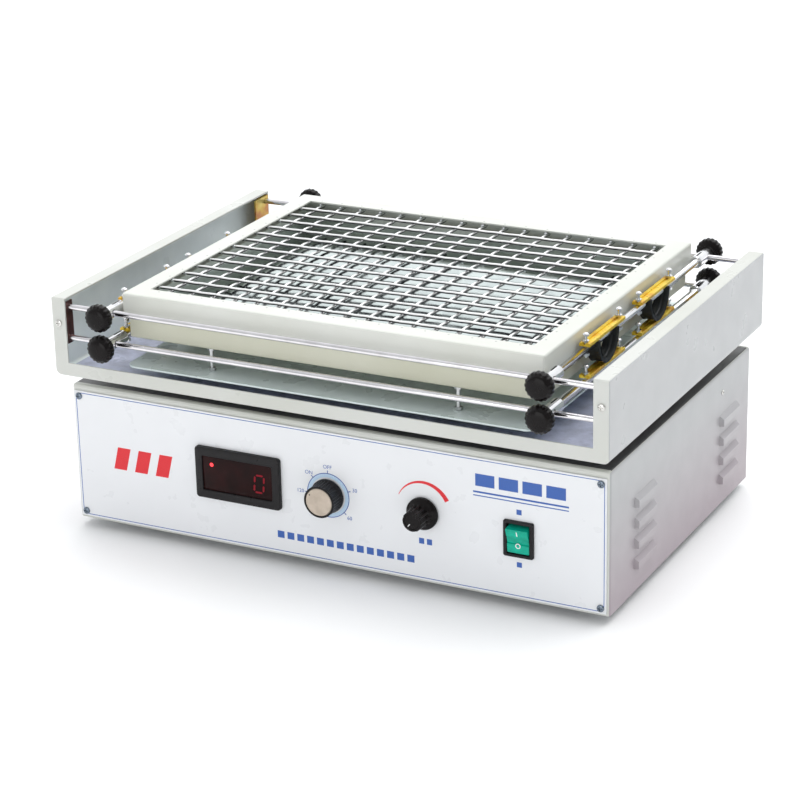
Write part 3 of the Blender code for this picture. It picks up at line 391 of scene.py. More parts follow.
def pan_look():
    """A bright floor that mirrors the mesh, dull walls round it, beige enamel outside, plated posts below."""
    low, high = corners_of("platform_pan")
    margin = PAN_WALL / 2
    under, floor_high = high.z - PAN_DEPTH, high.z - FLOOR_DROP
    look = Look("pan_sheet", (0.60, 0.60, 0.48), 0.3)
    inner_low, inner_high = (low.x + margin, low.y + margin), (high.x - margin, high.y - margin)
    inside = look.inside((*inner_low, floor_high - margin), (*inner_high, high.z - margin))
    floor = look.inside((*inner_low, floor_high - margin), (*inner_high, floor_high + 0.2))
    posts = look.inside((low.x, low.y, low.z - 1), (high.x, high.y, under - 0.1))
    cell = look.add("SeparateColor")
    look.link(look.cells(40), cell.inputs[0])
    bright = look.ramp(cell.outputs[0], (0.0, (0.50, 0.56, 0.55)), (1.0, (0.58, 0.64, 0.62)))
    beige = look.drift(9, 3, (0.56, 0.56, 0.44), (0.62, 0.62, 0.51), 0.35)
    dull = look.drift(24, 4, (0.70, 0.73, 0.66), (0.82, 0.85, 0.79))
    plated = look.drift(60, 2, (0.52, 0.53, 0.53), (0.66, 0.67, 0.67))
    look.paint(look.mix(posts, look.mix(floor, look.mix(inside, beige, dull), bright), plated))
    look.link(look.math("MAXIMUM", floor, posts), look.shader.inputs["Metallic"])
    mirrored = look.math("MULTIPLY", floor, look.spread(look.noise(40, 4), -0.30, -0.25))
    look.gloss(look.math("ADD", look.spread(look.noise(45, 3), 0.31, 0.37), mirrored))
    return look.bump(look.noise(14, 2), 0.03, 0.0004)


def galvanised_look():
    look = Look("galvanised_sheet", (0.78, 0.88, 0.87), 0.3, 0.12)
    look.paint(look.drift(26, 3, (0.74, 0.84, 0.83), (0.82, 0.92, 0.91)))
    look.worn(40, 2, 0.24, 0.36)
    return look.bump(look.noise(16, 2), 0.10, 0.0010)


def yellow_zinc_look():
    """Passivated zinc, its yellow drifting to orange and green."""
    look = Look("yellow_zinc", (0.80, 0.56, 0.06), 0.32, 0.55)
    look.paint(look.ramp(look.noise(70, 4, 0.6), (0.30, (0.66, 0.30, 0.02)), (0.48, (0.86, 0.58, 0.035)),
                         (0.62, (0.88, 0.68, 0.08)), (0.74, (0.56, 0.54, 0.08))))
    look.worn(200, 3, 0.24, 0.42)
    return look.bump(look.noise(1600, 2), 0.12, 0.0001)


def wire_look():
    """Galvanised wire, painted bright on top and dark underneath as its light and shade, the border moved by
    noise.
    """
    look = Look("mesh_wire", (0.86, 0.86, 0.85), 0.3, 0.75)
    split = look.add("SeparateXYZ")
    look.link(look.add("TexCoord").outputs["Normal"], split.inputs[0])
    # Painted light and shade: the colour follows the normal's height, dark on the undersides and bright on
    # top.
    worn = look.math("ADD", split.outputs[2], look.math("MULTIPLY", look.noise(220, 3), 0.3))
    look.paint(look.ramp(worn, (0.0, (0.035, 0.03, 0.04)), (0.25, (0.16, 0.15, 0.16)),
                         (0.42, (0.90, 0.90, 0.89))))
    return look.worn(160, 2, 0.26, 0.40)


def bracket_look():
    """Yellow zinc plated brackets; the front ones are painted dark as the shade and dark reflection they lie
    in.
    """
    look = Look("bracket_plating", (0.10, 0.05, 0.04), 0.34, 0.7)
    # Painted shade: the brackets at the front are coloured dark brown, those at the rear keep the yellow
    # plating.
    rear = look.math("GREATER_THAN", look.axes()[1], 0.0)
    dark = look.drift(90, 3, (0.045, 0.02, 0.018), (0.13, 0.055, 0.05))
    plated = look.ramp(look.noise(60, 3), (0.35, (0.42, 0.14, 0.05)), (0.5, (0.55, 0.36, 0.06)),
                       (0.65, (0.62, 0.50, 0.14)))
    look.paint(look.mix(rear, dark, plated))
    look.worn(200, 3, 0.28, 0.42)
    return look.bump(look.noise(1200, 2), 0.08, 0.0001)


def cast_look():
    look = Look("painted_casting", (0.13, 0.145, 0.16), 0.55)
    look.paint(look.drift(40, 4, (0.10, 0.115, 0.13), (0.16, 0.175, 0.19)))
    return look.bump(look.noise(500, 4), 0.5, 0.0004)


def motor_look():
    """Machined ends, and a lacquered laminated stack between them."""
    low, high = corners_of("motor")
    look = Look("motor_case", (0.40, 0.41, 0.42), 0.38, 0.9)
    stack_low, stack_high = 16.5, 56.0
    stack = look.inside((low.x, low.y, low.z + stack_low), (high.x, high.y, low.z + stack_high))
    lines = look.noise(700, 1, stretch=(0.02, 0.02, 1))
    look.paint(look.mix(stack, (0.42, 0.43, 0.44), look.ramp(lines, (0.4, (0.09, 0.07, 0.06)),
                                                              (0.6, (0.20, 0.17, 0.15)))))
    return look.bump(lines, 0.4, 0.0003)


def cap_look():
    """Champagne aluminium with spun rings."""
    look = Look("champagne_cap", (0.66, 0.58, 0.50), 0.34, 0.6)
    rings = look.rings(joint_at("timer_turn"), 900)
    look.paint(look.drift(140, 4, (0.44, 0.37, 0.30), (0.55, 0.47, 0.39)))
    look.worn(400, 3, 0.28, 0.44)
    return look.bump(rings, 0.18, 0.0001)


def window_look():
    """Smoked red filter over a dark meter."""
    look = Look("red_filter", (0.012, 0.004, 0.004), 0.16, Specular_IOR_Level=0.10)
    return look.paint(look.drift(60, 2, (0.010, 0.004, 0.004), (0.022, 0.005, 0.005)))


def lamp_look(name, colour, strength):
    look = Look(name, shade(colour, 0.4), 0.3)
    look.set("Emission Strength", strength)
    look.set("Specular IOR Level", 0.1)
    glow = look.drift(900, 1, shade(colour, 0.8), colour, 0.2)
    look.link(glow, look.shader.inputs["Emission Color"])
    return look


LOOKS.update(
    cabinet=cabinet_look(), panel=panel_look(), tray=tray_look(), pan=pan_look(), enamel=rim_look(),
    galvanised=galvanised_look(), yellow=yellow_zinc_look(), brown=bracket_look(), wire=wire_look(),
    cast=cast_look(), motor=motor_look(), cap=cap_look(), window=window_look(),
    lit=lamp_look("lit_led", (1.0, 0.05, 0.06), 2.2), dim=lamp_look("dim_segment", (0.50, 0.02, 0.04), 0.10))

CARRIED = {
    "cabinet": ["cabinet_shell"],
    "panel": ["control_panel"],
    "tray": ["tray"],
    "pan": ["platform_pan"],
    "enamel": ["platform_frame"],
    "galvanised": ["shaker_plate"],
    "zinc": ["bottom_plate", "timer_body", "speed_potentiometer", "motor_bracket"],
    "brown": [f"rod_bracket_{name}" for name, _, _ in CORNERS],
    "black": ["power_inlet"],
    "lens": ["rocker"],
    "cast": ["bearing_frame", "driven_pulley", "bearing_carrier"],
    "steel": ["motor_pulley", "crank_shaft", "idler_crank_left", "idler_crank_right"],
    "motor": ["motor"],
    "board": ["control_board"],
    "rubber": ["drive_belt"],
}


def dress_carried_nodes():
    for look, names in CARRIED.items():
        for name in names:
            NODES[name].data.materials.clear()
            NODES[name].data.materials.append(LOOKS[look].material)


dress_carried_nodes()


# Shapes, in millimetres

def block(low, high, rounded=0.0, segments=3):
    low, high = Vector(low), Vector(high)
    bm = bmesh.new()
    bmesh.ops.create_cube(bm, size=1)
    bmesh.ops.scale(bm, vec=high - low, verts=bm.verts)
    bmesh.ops.translate(bm, vec=(high + low) / 2, verts=bm.verts)
    if rounded:
        bmesh.ops.bevel(bm, geom=bm.edges[:], offset=rounded, segments=segments, profile=0.5, affect="EDGES")
    return bm


def outward(bm):
    bmesh.ops.recalc_face_normals(bm, faces=bm.faces)
    return bm


def turned(profile, sides=48):
    """A profile of (radius, height) turned about Z."""
    bm = bmesh.new()
    points = [bm.verts.new((radius, 0, height)) for radius, height in profile]
    edges = [bm.edges.new(pair) for pair in zip(points, points[1:])]
    bmesh.ops.spin(bm, geom=points + edges, cent=(0, 0, 0), axis=(0, 0, 1), angle=2 * math.pi, steps=sides,
                   use_merge=True)
    bmesh.ops.remove_doubles(bm, verts=bm.verts, dist=0.0001)
    return outward(bm)


def prism(sides, radius, height):
    """A nut, pin or bore, standing on Z = 0."""
    bm = bmesh.new()
    bmesh.ops.create_cone(bm, cap_ends=True, segments=sides, radius1=radius, radius2=radius, depth=height)
    bmesh.ops.translate(bm, vec=(0, 0, height / 2), verts=bm.verts)
    return bm


def flute(bm, count, depth, low, high, beyond):
    """Press rounded grooves into the side of a turned shape."""
    for vertex in bm.verts:
        radius = math.hypot(vertex.co.x, vertex.co.y)
        if radius > beyond and low <= vertex.co.z <= high:
            wave = 0.5 - 0.5 * math.cos(count * math.atan2(vertex.co.y, vertex.co.x))
            keep = 1 - depth * wave / radius
            vertex.co.x *= keep
            vertex.co.y *= keep
    return bm


def placed(bm, at, axis="Z"):
    """Turn a shape built along Z onto an axis and move it to a point."""
    bm.transform(Matrix.Translation(at) @ TURN_TO[axis])
    return bm


def merged(shapes):
    whole = bmesh.new()
    for shape in shapes:
        mesh = bpy.data.meshes.new("shape")
        shape.to_mesh(mesh)
        shape.free()
        whole.from_mesh(mesh)
        bpy.data.meshes.remove(mesh)
    return whole


def bridge(bm, first, second, closed=True):
    """Join two rows of vertices with a strip of faces."""
    count = len(first)
    for index in range(count if closed else count - 1):
        following = (index + 1) % count
        bm.faces.new((first[index], first[following], second[following], second[index]))


def swept(outline, points, side):
    """Sweep an outline of (across, up) along points in one plane; side is the plane's normal."""
    bm = bmesh.new()
    rings = []
    for index, point in enumerate(points):
        along = (points[min(index + 1, len(points) - 1)] - points[max(index - 1, 0)]).normalized()
        up = side.cross(along)
        rings.append([bm.verts.new(point + across * side + high * up) for across, high in outline])
    for first, second in zip(rings, rings[1:]):
        bridge(bm, first, second)
    bm.faces.new(rings[0][::-1])
    bm.faces.new(rings[-1])
    return outward(bm)


def circle(radius, sides):
    return [(radius * math.cos(2 * math.pi * step / sides), radius * math.sin(2 * math.pi * step / sides))
            for step in range(sides)]


def band(inner, outer, near, far, closed):
    """A flat strip on the panel between two lines of (x, z), with a thickness along Y."""
    bm = bmesh.new()
    rows = [[bm.verts.new((x, y, z)) for x, z in line] for line in (inner, outer) for y in (near, far)]
    order = (rows[0], rows[2], rows[3], rows[1])
    for first, second in zip(order, order[1:] + order[:1]):
        bridge(bm, first, second, closed)
    if not closed:
        bm.faces.new([row[0] for row in order])
        bm.faces.new([row[-1] for row in reversed(order)])
    return outward(bm)


def arc(centre, radius, start, end, steps):
    """Points of an arc about centre, angles in degrees, counterclockwise from +X."""
    return [(centre[0] + radius * math.cos(math.radians(start + (end - start) * step / steps)),
             centre[1] + radius * math.sin(math.radians(start + (end - start) * step / steps)))
            for step in range(steps + 1)]


def carved(bm, cutters):
    """Cut shapes out of a shape."""
    target, tools = as_object(bm), [as_object(cutter) for cutter in cutters]
    for tool in tools:
        modifier = target.modifiers.new("cut", "BOOLEAN")
        modifier.operation = "DIFFERENCE"
        modifier.object = tool
    result = evaluated(target)
    for tool in tools:
        bpy.data.objects.remove(tool)
    return result


def evaluated(obj):
    """The shape of an object with its modifiers, or of a text; the object is removed."""
    mesh = bpy.data.meshes.new_from_object(obj.evaluated_get(bpy.context.evaluated_depsgraph_get()))
    bm = bmesh.new()
    bm.from_mesh(mesh)
    bpy.data.objects.remove(obj)
    return bm


def as_object(bm):
    mesh = bpy.data.meshes.new("shape")
    bm.to_mesh(mesh)
    bm.free()
    obj = bpy.data.objects.new("shape", mesh)
    bpy.context.scene.collection.objects.link(obj)
    return obj


def piece(name, bm, look, body, replaces=(), angle=35):
    """Finish a shape: metres, shading, material, and the body it rides on."""
    bmesh.ops.scale(bm, vec=(MM, MM, MM), verts=bm.verts)
    obj = as_object(bm)
    obj.name = obj.data.name = name
    obj.data.shade_smooth()
    obj.data.set_sharp_from_angle(angle=math.radians(angle))
    obj.data.materials.append(LOOKS[look].material)
    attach(obj, body)
    if replaces:
        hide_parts(*replaces)
    return obj


def screw_head(radius, height):
    """A pan head standing on Z = 0, with a cross recess."""
    profile = [(0, height)] + [(radius * math.sin(math.radians(angle)),
                                height * (0.45 + 0.55 * math.cos(math.radians(angle))))
                               for angle in range(15, 91, 15)] + [(radius, 0), (0, 0)]
    arm, width = radius * 0.62, radius * 0.13
    bars = [block((-arm, -width, height * 0.45), (arm, width, height + 1)),
            block((-width, -arm, height * 0.45), (width, arm, height + 1))]
    return carved(turned(profile, 32), bars)


# Control panel

PANEL_LOW, PANEL_HIGH = corners_of("control_panel")
PANEL_FACE = PANEL_LOW.y
PRINT_NEAR, PRINT_FAR, PRINT_DEPTH = PANEL_FACE - 0.06, PANEL_FACE + 0.02, 0.08
SCREW_INSET, CORNER_STEPS = 4.6, 6


def on_panel(x, z, out=0.0):
    return Vector((x, PANEL_FACE - out, z))


def on_front(bm, x, z, out=0.0):
    """Stand a shape built along Z on the panel."""
    return placed(bm, on_panel(x, z, out), "-Y")


def panel_screw_places():
    xs = (PANEL_LOW.x + SCREW_INSET, PANEL_HIGH.x - SCREW_INSET)
    zs = (PANEL_LOW.z + SCREW_INSET, PANEL_HIGH.z - SCREW_INSET)
    return [(x, z) for x in xs for z in zs]


def panel_screws():
    for number, (x, z) in enumerate(panel_screw_places(), 1):
        head = on_front(screw_head(3.1, 1.7), x, z)
        shank = placed(prism(16, 1.5, 9), on_panel(x, z, 0.2), "Y")
        piece(f"panel_screw_{number}", merged([head, shank]), "dark_screw", "case")


def rounded_outline(half_x, half_z, radius):
    outline = []
    for sign_x, sign_z, start in ((1, 1, 0), (-1, 1, 90), (-1, -1, 180), (1, -1, 270)):
        centre = (sign_x * (half_x - radius), sign_z * (half_z - radius))
        outline += arc(centre, radius, start, start + 90, CORNER_STEPS)
    return outline


def border_line():
    """A thin line with rounded corners just inside the panel's edge."""
    centre = (PANEL_LOW + PANEL_HIGH) / 2
    lines = []
    for inset in (1.5, 2.1):
        outline = rounded_outline(PANEL_HIGH.x - inset, (PANEL_HIGH.z - PANEL_LOW.z) / 2 - inset, 7.5 - inset)
        lines.append([(x, centre.z + z) for x, z in outline])
    return band(lines[1], lines[0], PRINT_NEAR, PRINT_FAR, True)


def bar_mark(x_from, x_to, z_from, z_to, lean=0.0):
    """A printed bar; its upper edge is shifted sideways by lean."""
    return band([(x_from, z_from), (x_to, z_from)], [(x_from + lean, z_to), (x_to + lean, z_to)],
                PRINT_NEAR, PRINT_FAR, False)


def bar_row(left, low, width, height, pitch=0.0, count=1, lean=0.0):
    """A row of printed bars, pitch apart."""
    return [bar_mark(left + step * pitch, left + step * pitch + width, low, low + height, lean)
            for step in range(count)]


ARC_STEPS, ARC_START, ARC_SWEEP = 32, 150, 118           # angles in degrees
ARC_RADIUS, ARC_SWELL, ARC_THIN, ARC_THICK = 25.0, 1.2, 0.25, 2.0


def tapered_arc():
    """The speed scale: a stroke that thickens clockwise over the speed knob."""
    centre = joint_at("speed_turn")
    inner, outer = [], []
    for step in range(ARC_STEPS + 1):
        share = step / ARC_STEPS
        angle = math.radians(ARC_START - share * ARC_SWEEP)
        middle = ARC_RADIUS + ARC_SWELL * math.sin(math.pi * share)
        half = ARC_THIN + (ARC_THICK - ARC_THIN) * share
        for line, radius in ((inner, middle - half), (outer, middle + half)):
            line.append((centre.x + radius * math.cos(angle), centre.z + radius * math.sin(angle)))
    return band(inner, outer, PRINT_NEAR, PRINT_FAR, False)


TIMER_MARKS = ((90, "OFF"), (135, "ON"), (180, "120"), (18, "30"), (-42, "60"))
TIMER_RING, PALE_RING, TICK, RING_STEPS = 18.7, 15.6, 3.0, 96


def ring_on_panel(here, inner, outer):
    lines = [arc(here, radius, 0, 360, RING_STEPS)[:-1] for radius in (inner, outer)]
    return band(*lines, PRINT_NEAR, PRINT_FAR, True)


def timer_dial():
    centre = joint_at("timer_turn")
    here = (centre.x, centre.z)
    dark = [ring_on_panel(here, TIMER_RING, TIMER_RING + 0.7)]
    for angle, label in TIMER_MARKS:
        start, end = (arc(here, radius, angle, angle, 1)[0] for radius in (TIMER_RING, TIMER_RING + TICK))
        across = Vector((-math.sin(math.radians(angle)), math.cos(math.radians(angle)))) * 0.35
        lines = [[tuple(Vector(point) + sign * across) for point in (start, end)] for sign in (-1, 1)]
        dark.append(band(*lines, PRINT_NEAR, PRINT_FAR, False))
        reach = TIMER_RING + (5.8 if angle in (90, 135) else 7.0)
        dark.append(lettering(label, arc(here, reach, angle, angle, 1)[0], 4.6))
    return merged(dark), ring_on_panel(here, PALE_RING, TIMER_RING - 0.1)


def lettering(text, centre, size):
    """Raised print of a word or number, centred on a panel point."""
    curve = bpy.data.curves.new("lettering", "FONT")
    curve.body = text
    curve.size = size
    curve.align_x, curve.align_y = "CENTER", "CENTER"
    curve.extrude = PRINT_DEPTH / 2
    curve.resolution_u = 4
    obj = bpy.data.objects.new("lettering", curve)
    bpy.context.scene.collection.objects.link(obj)
    bm = evaluated(obj)
    bmesh.ops.remove_doubles(bm, verts=bm.verts, dist=0.001)
    return on_front(bm, *centre, PRINT_DEPTH / 2)


# Left edge, lower edge, width and height, then pitch, count and lean where it isn't one upright bar
BLUE_BARS = ((129.0, 94.4, 82.0, 1.5), (129.0, 91.6, 82.0, 0.9),                 # rules under the title
             (131.0, 100.2, 16.6, 10.4, 20.3, 4),                                # title
             (-50.0, 23.4, 6.4, 6.2, 9.2, 14),                                   # line under the dials
             (80.5, 41.5, 4.6, 5.0, 7.0, 2),                                     # speed caption
             (166.4, 81.5, 4.4, 4.4), (166.4, 36.5, 4.4, 4.4))                   # switch captions
RED_STRIPES = (-207.0, 58.5, 12.5, 20.0, 20.5, 3, 5.0)


def panel_print():
    dial, pale = timer_dial()
    marks = [border_line(), dial]
    for row in BLUE_BARS:
        marks += bar_row(*row)
    piece("printed_blue", merged(marks), "blue", "case")
    piece("printed_pale_ring", pale, "pale", "case")
    piece("printed_red", merged([tapered_arc(), *bar_row(*RED_STRIPES)]), "red", "case")


panel_screws()
panel_print()


# Panel meter

def framed(centre, outer, opening, near, far, corner, opening_corner, edge):
    """A bezel on the panel: rounded outside, a through opening, and a chamfered front edge."""
    loops = []
    for half_x, half_z, radius, y in (
            (outer[0] / 2, outer[1] / 2, corner, far), (outer[0] / 2, outer[1] / 2, corner, near + edge),
            (outer[0] / 2 - edge * 0.3, outer[1] / 2 - edge * 0.3, corner, near + edge * 0.3),
            (outer[0] / 2 - edge, outer[1] / 2 - edge, corner - edge * 0.6, near),
            (opening[0] / 2 + 0.5, opening[1] / 2 + 0.5, opening_corner + 0.3, near),
            (opening[0] / 2, opening[1] / 2, opening_corner, near + 0.5),
            (opening[0] / 2, opening[1] / 2, opening_corner, far)):
        outline = rounded_outline(half_x, half_z, radius)
        loops.append([(centre[0] + x, y, centre[1] + z) for x, z in outline])
    bm = bmesh.new()
    rows = [[bm.verts.new(point) for point in loop] for loop in loops]
    for first, second in zip(rows, rows[1:] + rows[:1]):
        bridge(bm, first, second)
    return outward(bm)


SEGMENT_THICK = 0.05
ZERO = ((0, 1, True), (0.5, 0.5, False), (0.5, -0.5, False), (0, -1, True), (-0.5, -0.5, False),
        (-0.5, 0.5, False))                    # place across, place up, and whether the segment lies flat


def zero_digit(centre, y, width, height):
    """The segments that show a zero."""
    shapes = []
    half = height / 2
    thick, slant = height * 0.11, 0.08
    for across, up, lying in ZERO:
        middle = Vector((across * width, up * half))
        reach = (width / 2 - thick * 0.55) if lying else (half / 2 - thick * 0.55)
        along = Vector((1, 0)) if lying else Vector((0, 1))
        side = Vector((along.y, along.x)) * thick / 2
        tip = along * thick * 0.5
        corners = [middle - along * reach, middle - along * reach + tip + side,
                   middle + along * reach - tip + side, middle + along * reach,
                   middle + along * reach - tip - side, middle - along * reach + tip - side]
        points = [(centre[0] + corner.x + slant * corner.y, centre[1] + corner.y) for corner in corners]
        shapes.append(hexagon(points, y))
    return merged(shapes)


def hexagon(points, y):
    bm = bmesh.new()
    rows = [[bm.verts.new((x, depth, z)) for x, z in points] for depth in (y, y - SEGMENT_THICK)]
    bridge(bm, *rows)
    bm.faces.new(rows[0])
    bm.faces.new(rows[1][::-1])
    return outward(bm)


def panel_meter():
    low, high = corners_of("display_bezel")
    window_low, window_high = corners_of("display_window")
    centre = ((low.x + high.x) / 2, (low.z + high.z) / 2)
    opening = (window_high.x - window_low.x + 0.4, window_high.z - window_low.z + 0.4)
    rim = framed(centre, (high.x - low.x, high.z - low.z), opening, low.y, PANEL_FACE - 0.02, 2.6, 0.8, 1.2)
    body = block((low.x + 2.6, PANEL_FACE - 0.5, low.z + 2.6), (high.x - 2.6, high.y, high.z - 2.6), 0.6)
    piece("meter_case", merged([rim, body]), "black", "case", ["display_bezel"])
    glass = block(window_low, window_high, 0.25, 2)
    piece("meter_window", glass, "window", "case", ["display_window"])
    front = window_low.y - 0.02
    shown = zero_digit((centre[0] + 20.5, centre[1] - 2.0), front, 8.6, 15.0)
    piece("meter_digit", shown, "dim", "case")
    lamp = placed(turned([(0, 0.5), (1.0, 0.4), (1.7, 0), (1.7, -0.4), (0, -0.4)], 24),
                  (window_low.x + 8.5, front, window_high.z - 7.0), "-Y")
    piece("meter_lamp", lamp, "lit", "case")


panel_meter()


# Knobs and switch

def timer_knob():
    low, high = corners_of("timer_knob")
    at = joint_at("timer_turn")
    radius, rise = (high.x - low.x) / 2, PANEL_FACE - low.y
    foot = PANEL_FACE - high.y
    waist = radius - 1.0
    profile = [(0, rise - 1.2), (waist - 1.6, rise - 1.2), (waist - 1.5, rise - 0.2), (waist - 1.1, rise),
               (waist - 0.5, rise - 0.1), (waist, rise - 0.7), (waist, rise - 1.6), (waist + 0.1, 5.0),
               (waist + 0.6, 3.6), (radius, 3.0), (radius, foot + 0.4), (radius - 0.4, foot), (0, foot)]
    grip = flute(turned(profile, 192), 32, 0.75, 3.8, rise - 1.4, waist - 0.3)
    piece("timer_grip", on_front(grip, at.x, at.z), "black", "timer_knob",
          ["timer_knob"])
    cap_radius = waist - 1.7
    cap = [(0, rise - 0.35), (cap_radius - 0.5, rise - 0.35), (cap_radius, rise - 0.7),
           (cap_radius, rise - 1.2), (0, rise - 1.2)]
    piece("timer_cap", on_front(turned(cap, 64), at.x, at.z), "cap", "timer_knob")
    dot = turned([(0, rise - 0.25), (0.55, rise - 0.28), (0.62, rise - 0.5), (0, rise - 0.5)], 16)
    piece("timer_index_dot", on_front(dot, at.x - 8.2, at.z + 5.4), "black", "timer_knob")


POINTER_ANGLE = 140


def speed_knob():
    low, high = corners_of("speed_knob")
    at = joint_at("speed_turn")
    radius, rise = (high.x - low.x) / 2, PANEL_FACE - low.y
    foot = PANEL_FACE - high.y
    grip = radius - 5.0
    profile = [(0, rise - 0.8), (grip - 2.6, rise - 0.8), (grip - 2.2, rise - 0.2), (grip - 1.4, rise),
               (grip - 0.6, rise - 0.3), (grip, rise - 1.1), (grip, rise - 2.0), (grip + 0.5, 7.4),
               (grip + 1.2, 6.0), (radius - 2.4, 4.9), (radius - 0.7, 4.2), (radius - 0.1, 3.3),
               (radius, 2.4), (radius, foot + 0.5), (radius - 0.5, foot), (0, foot)]
    knob = flute(turned(profile, 144), 12, 1.5, 6.6, rise - 0.9, grip - 0.9)
    piece("speed_grip", on_front(knob, at.x, at.z), "bakelite", "speed_knob",
          ["speed_knob"])
    line = block((-0.35, grip - 5.6, rise - 0.82), (0.35, grip - 2.8, rise - 0.72))
    pointer = block((-0.4, radius - 3.2, 4.5), (0.4, radius - 0.9, 4.9))
    marks = merged([line, pointer])
    marks.transform(Matrix.Rotation(math.radians(POINTER_ANGLE), 4, "Z"))
    piece("speed_pointer", on_front(marks, at.x, at.z), "white", "speed_knob")


def switch():
    low, high = corners_of("switch_housing")
    centre = ((low.x + high.x) / 2, joint_at("rocker_tilt").z)
    opening = (19.6, 25.6)
    rim = framed(centre, (high.x - low.x, high.z - low.z), opening, low.y, PANEL_FACE - 0.02, 1.5, 0.5, 0.9)
    walls = framed(centre, (21.6, 28.0), opening, PANEL_FACE - 0.6, PANEL_FACE + 16, 0.7, 0.5, 0.2)
    back = block((centre[0] - 10.6, PANEL_FACE + 14, centre[1] - 13.8),
                 (centre[0] + 10.6, PANEL_FACE + 23, centre[1] + 13.8), 0.8)
    terminals = [block((centre[0] - 3, PANEL_FACE + 22, centre[1] + rise - 0.4),
                       (centre[0] + 3, high.y, centre[1] + rise + 0.4), 0.15) for rise in (-8, 0, 8)]
    piece("switch_case", merged([rim, walls, back, *terminals]), "black", "case",
          ["switch_housing"])


def rocker_marks():
    """A bar and a ring printed on the two faces of the rocker."""
    mesh = NODES["rocker"].data
    at = joint_at("rocker_tilt")
    for name, upper in (("rocker_on_mark", True), ("rocker_off_mark", False)):
        faces = [face for face in mesh.polygons
                 if face.normal.y < -0.9 and (face.center.z > at.z * MM) == upper]
        widest = max(faces, key=lambda face: face.area)
        normal = widest.normal.copy()
        spot = Vector((at.x, 0, at.z + (5.6 if upper else -5.4)))
        anchor = widest.center / MM
        spot.y = anchor.y - (normal.x * (spot.x - anchor.x) + normal.z * (spot.z - anchor.z)) / normal.y
        mark = block((-0.45, -2.2, -0.03), (0.45, 2.2, 0.05)) if upper else ring_mark(1.5, 2.3)
        up = (Z - normal * Z.dot(normal)).normalized()
        turn = Matrix((up.cross(normal), up, normal)).transposed().to_4x4()
        mark.transform(Matrix.Translation(spot) @ turn)
        piece(name, mark, "white", "rocker")


def ring_mark(inner, outer):
    return turned([(inner, -0.03), (outer, -0.03), (outer, 0.05), (inner, 0.05), (inner, -0.03)], 32)


timer_knob()
speed_knob()
switch()
rocker_marks()


# Case fittings

def rubber_feet():
    for name, _, _ in CORNERS:
        node = f"rubber_foot_{name}"
        low, high = corners_of(node)
        centre = (low + high) / 2
        radius, top = (high.x - low.x) / 2, 8.0
        profile = [(0, high.z), (1.9, high.z), (2.0, high.z - 0.3), (2.0, top), (radius - 0.6, top),
                   (radius, top - 0.6), (radius - 1.4, 1.2), (radius - 1.9, 0.4), (radius - 2.8, 0),
                   (4.4, 0), (4.0, 0.4), (3.8, 2.4), (0, 2.4)]
        piece(f"foot_{name}", placed(turned(profile, 48), (centre.x, centre.y, 0)), "rubber", "case",
              [node])
        head = placed(screw_head(3.0, 1.4), (centre.x, centre.y, 2.3), "-Z")
        piece(f"foot_screw_{name}", head, "screw", "case")


def inlet_fittings():
    """Screws beside the mains inlet."""
    low, high = corners_of("power_inlet")
    middle_z = (low.z + high.z) / 2
    for name, x in (("left", low.x + 4.5), ("right", high.x - 4.5)):
        piece(f"inlet_screw_{name}", placed(screw_head(2.6, 1.3), (x, high.y, middle_z), "Y"),
              "screw", "case")


def case_screws():
    """One self-tapping screw through each louvred side."""
    wall = corners_of("bottom_plate")[1].x + 1.5
    for name, side in SIDES.items():
        head = screw_head(2.3, 1.0)
        head.transform(Matrix.Rotation(side * math.pi / 2, 4, "Y"))
        piece(f"case_screw_{name}", placed(head, (side * wall, 89.0, 110.0)), "screw", "case")


rubber_feet()
inlet_fittings()
case_screws()


# Woven platform mesh

def woven_mesh():
    """Wires across the platform, lying over the wires that run to the rear and dipping between them."""
    low, high = corners_of("wire_mesh")
    middle, radius = (low.z + high.z) / 2, (high.z - low.z) / 4
    step = MESH_PITCH / 8
    shapes = []
    for along, count, reach, over, dip in ((Y, WIRES_ALONG, high.y, -1, 0.30),
                                           (X, WIRES_ACROSS, high.x, 1, 0.12)):
        side = Z.cross(along)
        samples = int(2 * reach / step)
        for number in range(count):
            offset = side * (number - count // 2) * MESH_PITCH
            points = []
            for sample in range(samples + 1):
                run = -reach + 2 * reach * sample / samples
                crest = 1 - dip + dip * math.cos(2 * math.pi * run / MESH_PITCH)
                points.append(along * run + offset + Z * (middle + over * radius * crest))
            shapes.append(swept(circle(radius, 10), points, side))
    piece("woven_wires", merged(shapes), "wire", "tray", ["wire_mesh"], angle=60)


def weld_spots():
    """A spot of weld under the rim at each wire's ends."""
    random.seed(4)
    high = corners_of("platform_frame")[1]
    mesh_high = corners_of("wire_mesh")[1]
    spots = []
    for count, edge, across in ((WIRES_ALONG, high.y - RIM_Y, False), (WIRES_ACROSS, high.x - RIM_X, True)):
        for number in range(count):
            place = (number - count // 2) * MESH_PITCH
            for sign in (-1, 1):
                x, y = (sign * (edge + 0.7), place) if across else (place, sign * (edge + 0.7))
                spot = bmesh.new()
                bmesh.ops.create_uvsphere(spot, u_segments=12, v_segments=8, radius=1.9)
                size = random.uniform(0.8, 1.15)
                bmesh.ops.scale(spot, vec=(size, size, 0.7 * size), verts=spot.verts)
                spots.append(placed(spot, (x, y, mesh_high.z - 1.6)))
    piece("mesh_welds", merged(spots), "zinc", "tray", angle=80)


woven_mesh()
weld_spots()


# Rods and clamp bars

ROD_END_CHAMFER, DOME_STEPS = 0.5, 7


def cross_rods():
    for end in ENDS:
        for level in LEVELS:
            node = f"cross_rod_{end}_{level}"
            low, high = corners_of(node)
            radius, length = (high.z - low.z) / 2, high.x - low.x
            neck = radius - ROD_END_CHAMFER
            rod = turned([(0, length), (neck, length), (radius, length - ROD_END_CHAMFER),
                          (radius, ROD_END_CHAMFER), (neck, 0), (0, 0)], 32)
            centre = (low + high) / 2
            rod = placed(rod, (low.x, centre.y, centre.z), "X")
            piece(f"rod_{end}_{level}", rod, "chrome", "tray", [node])


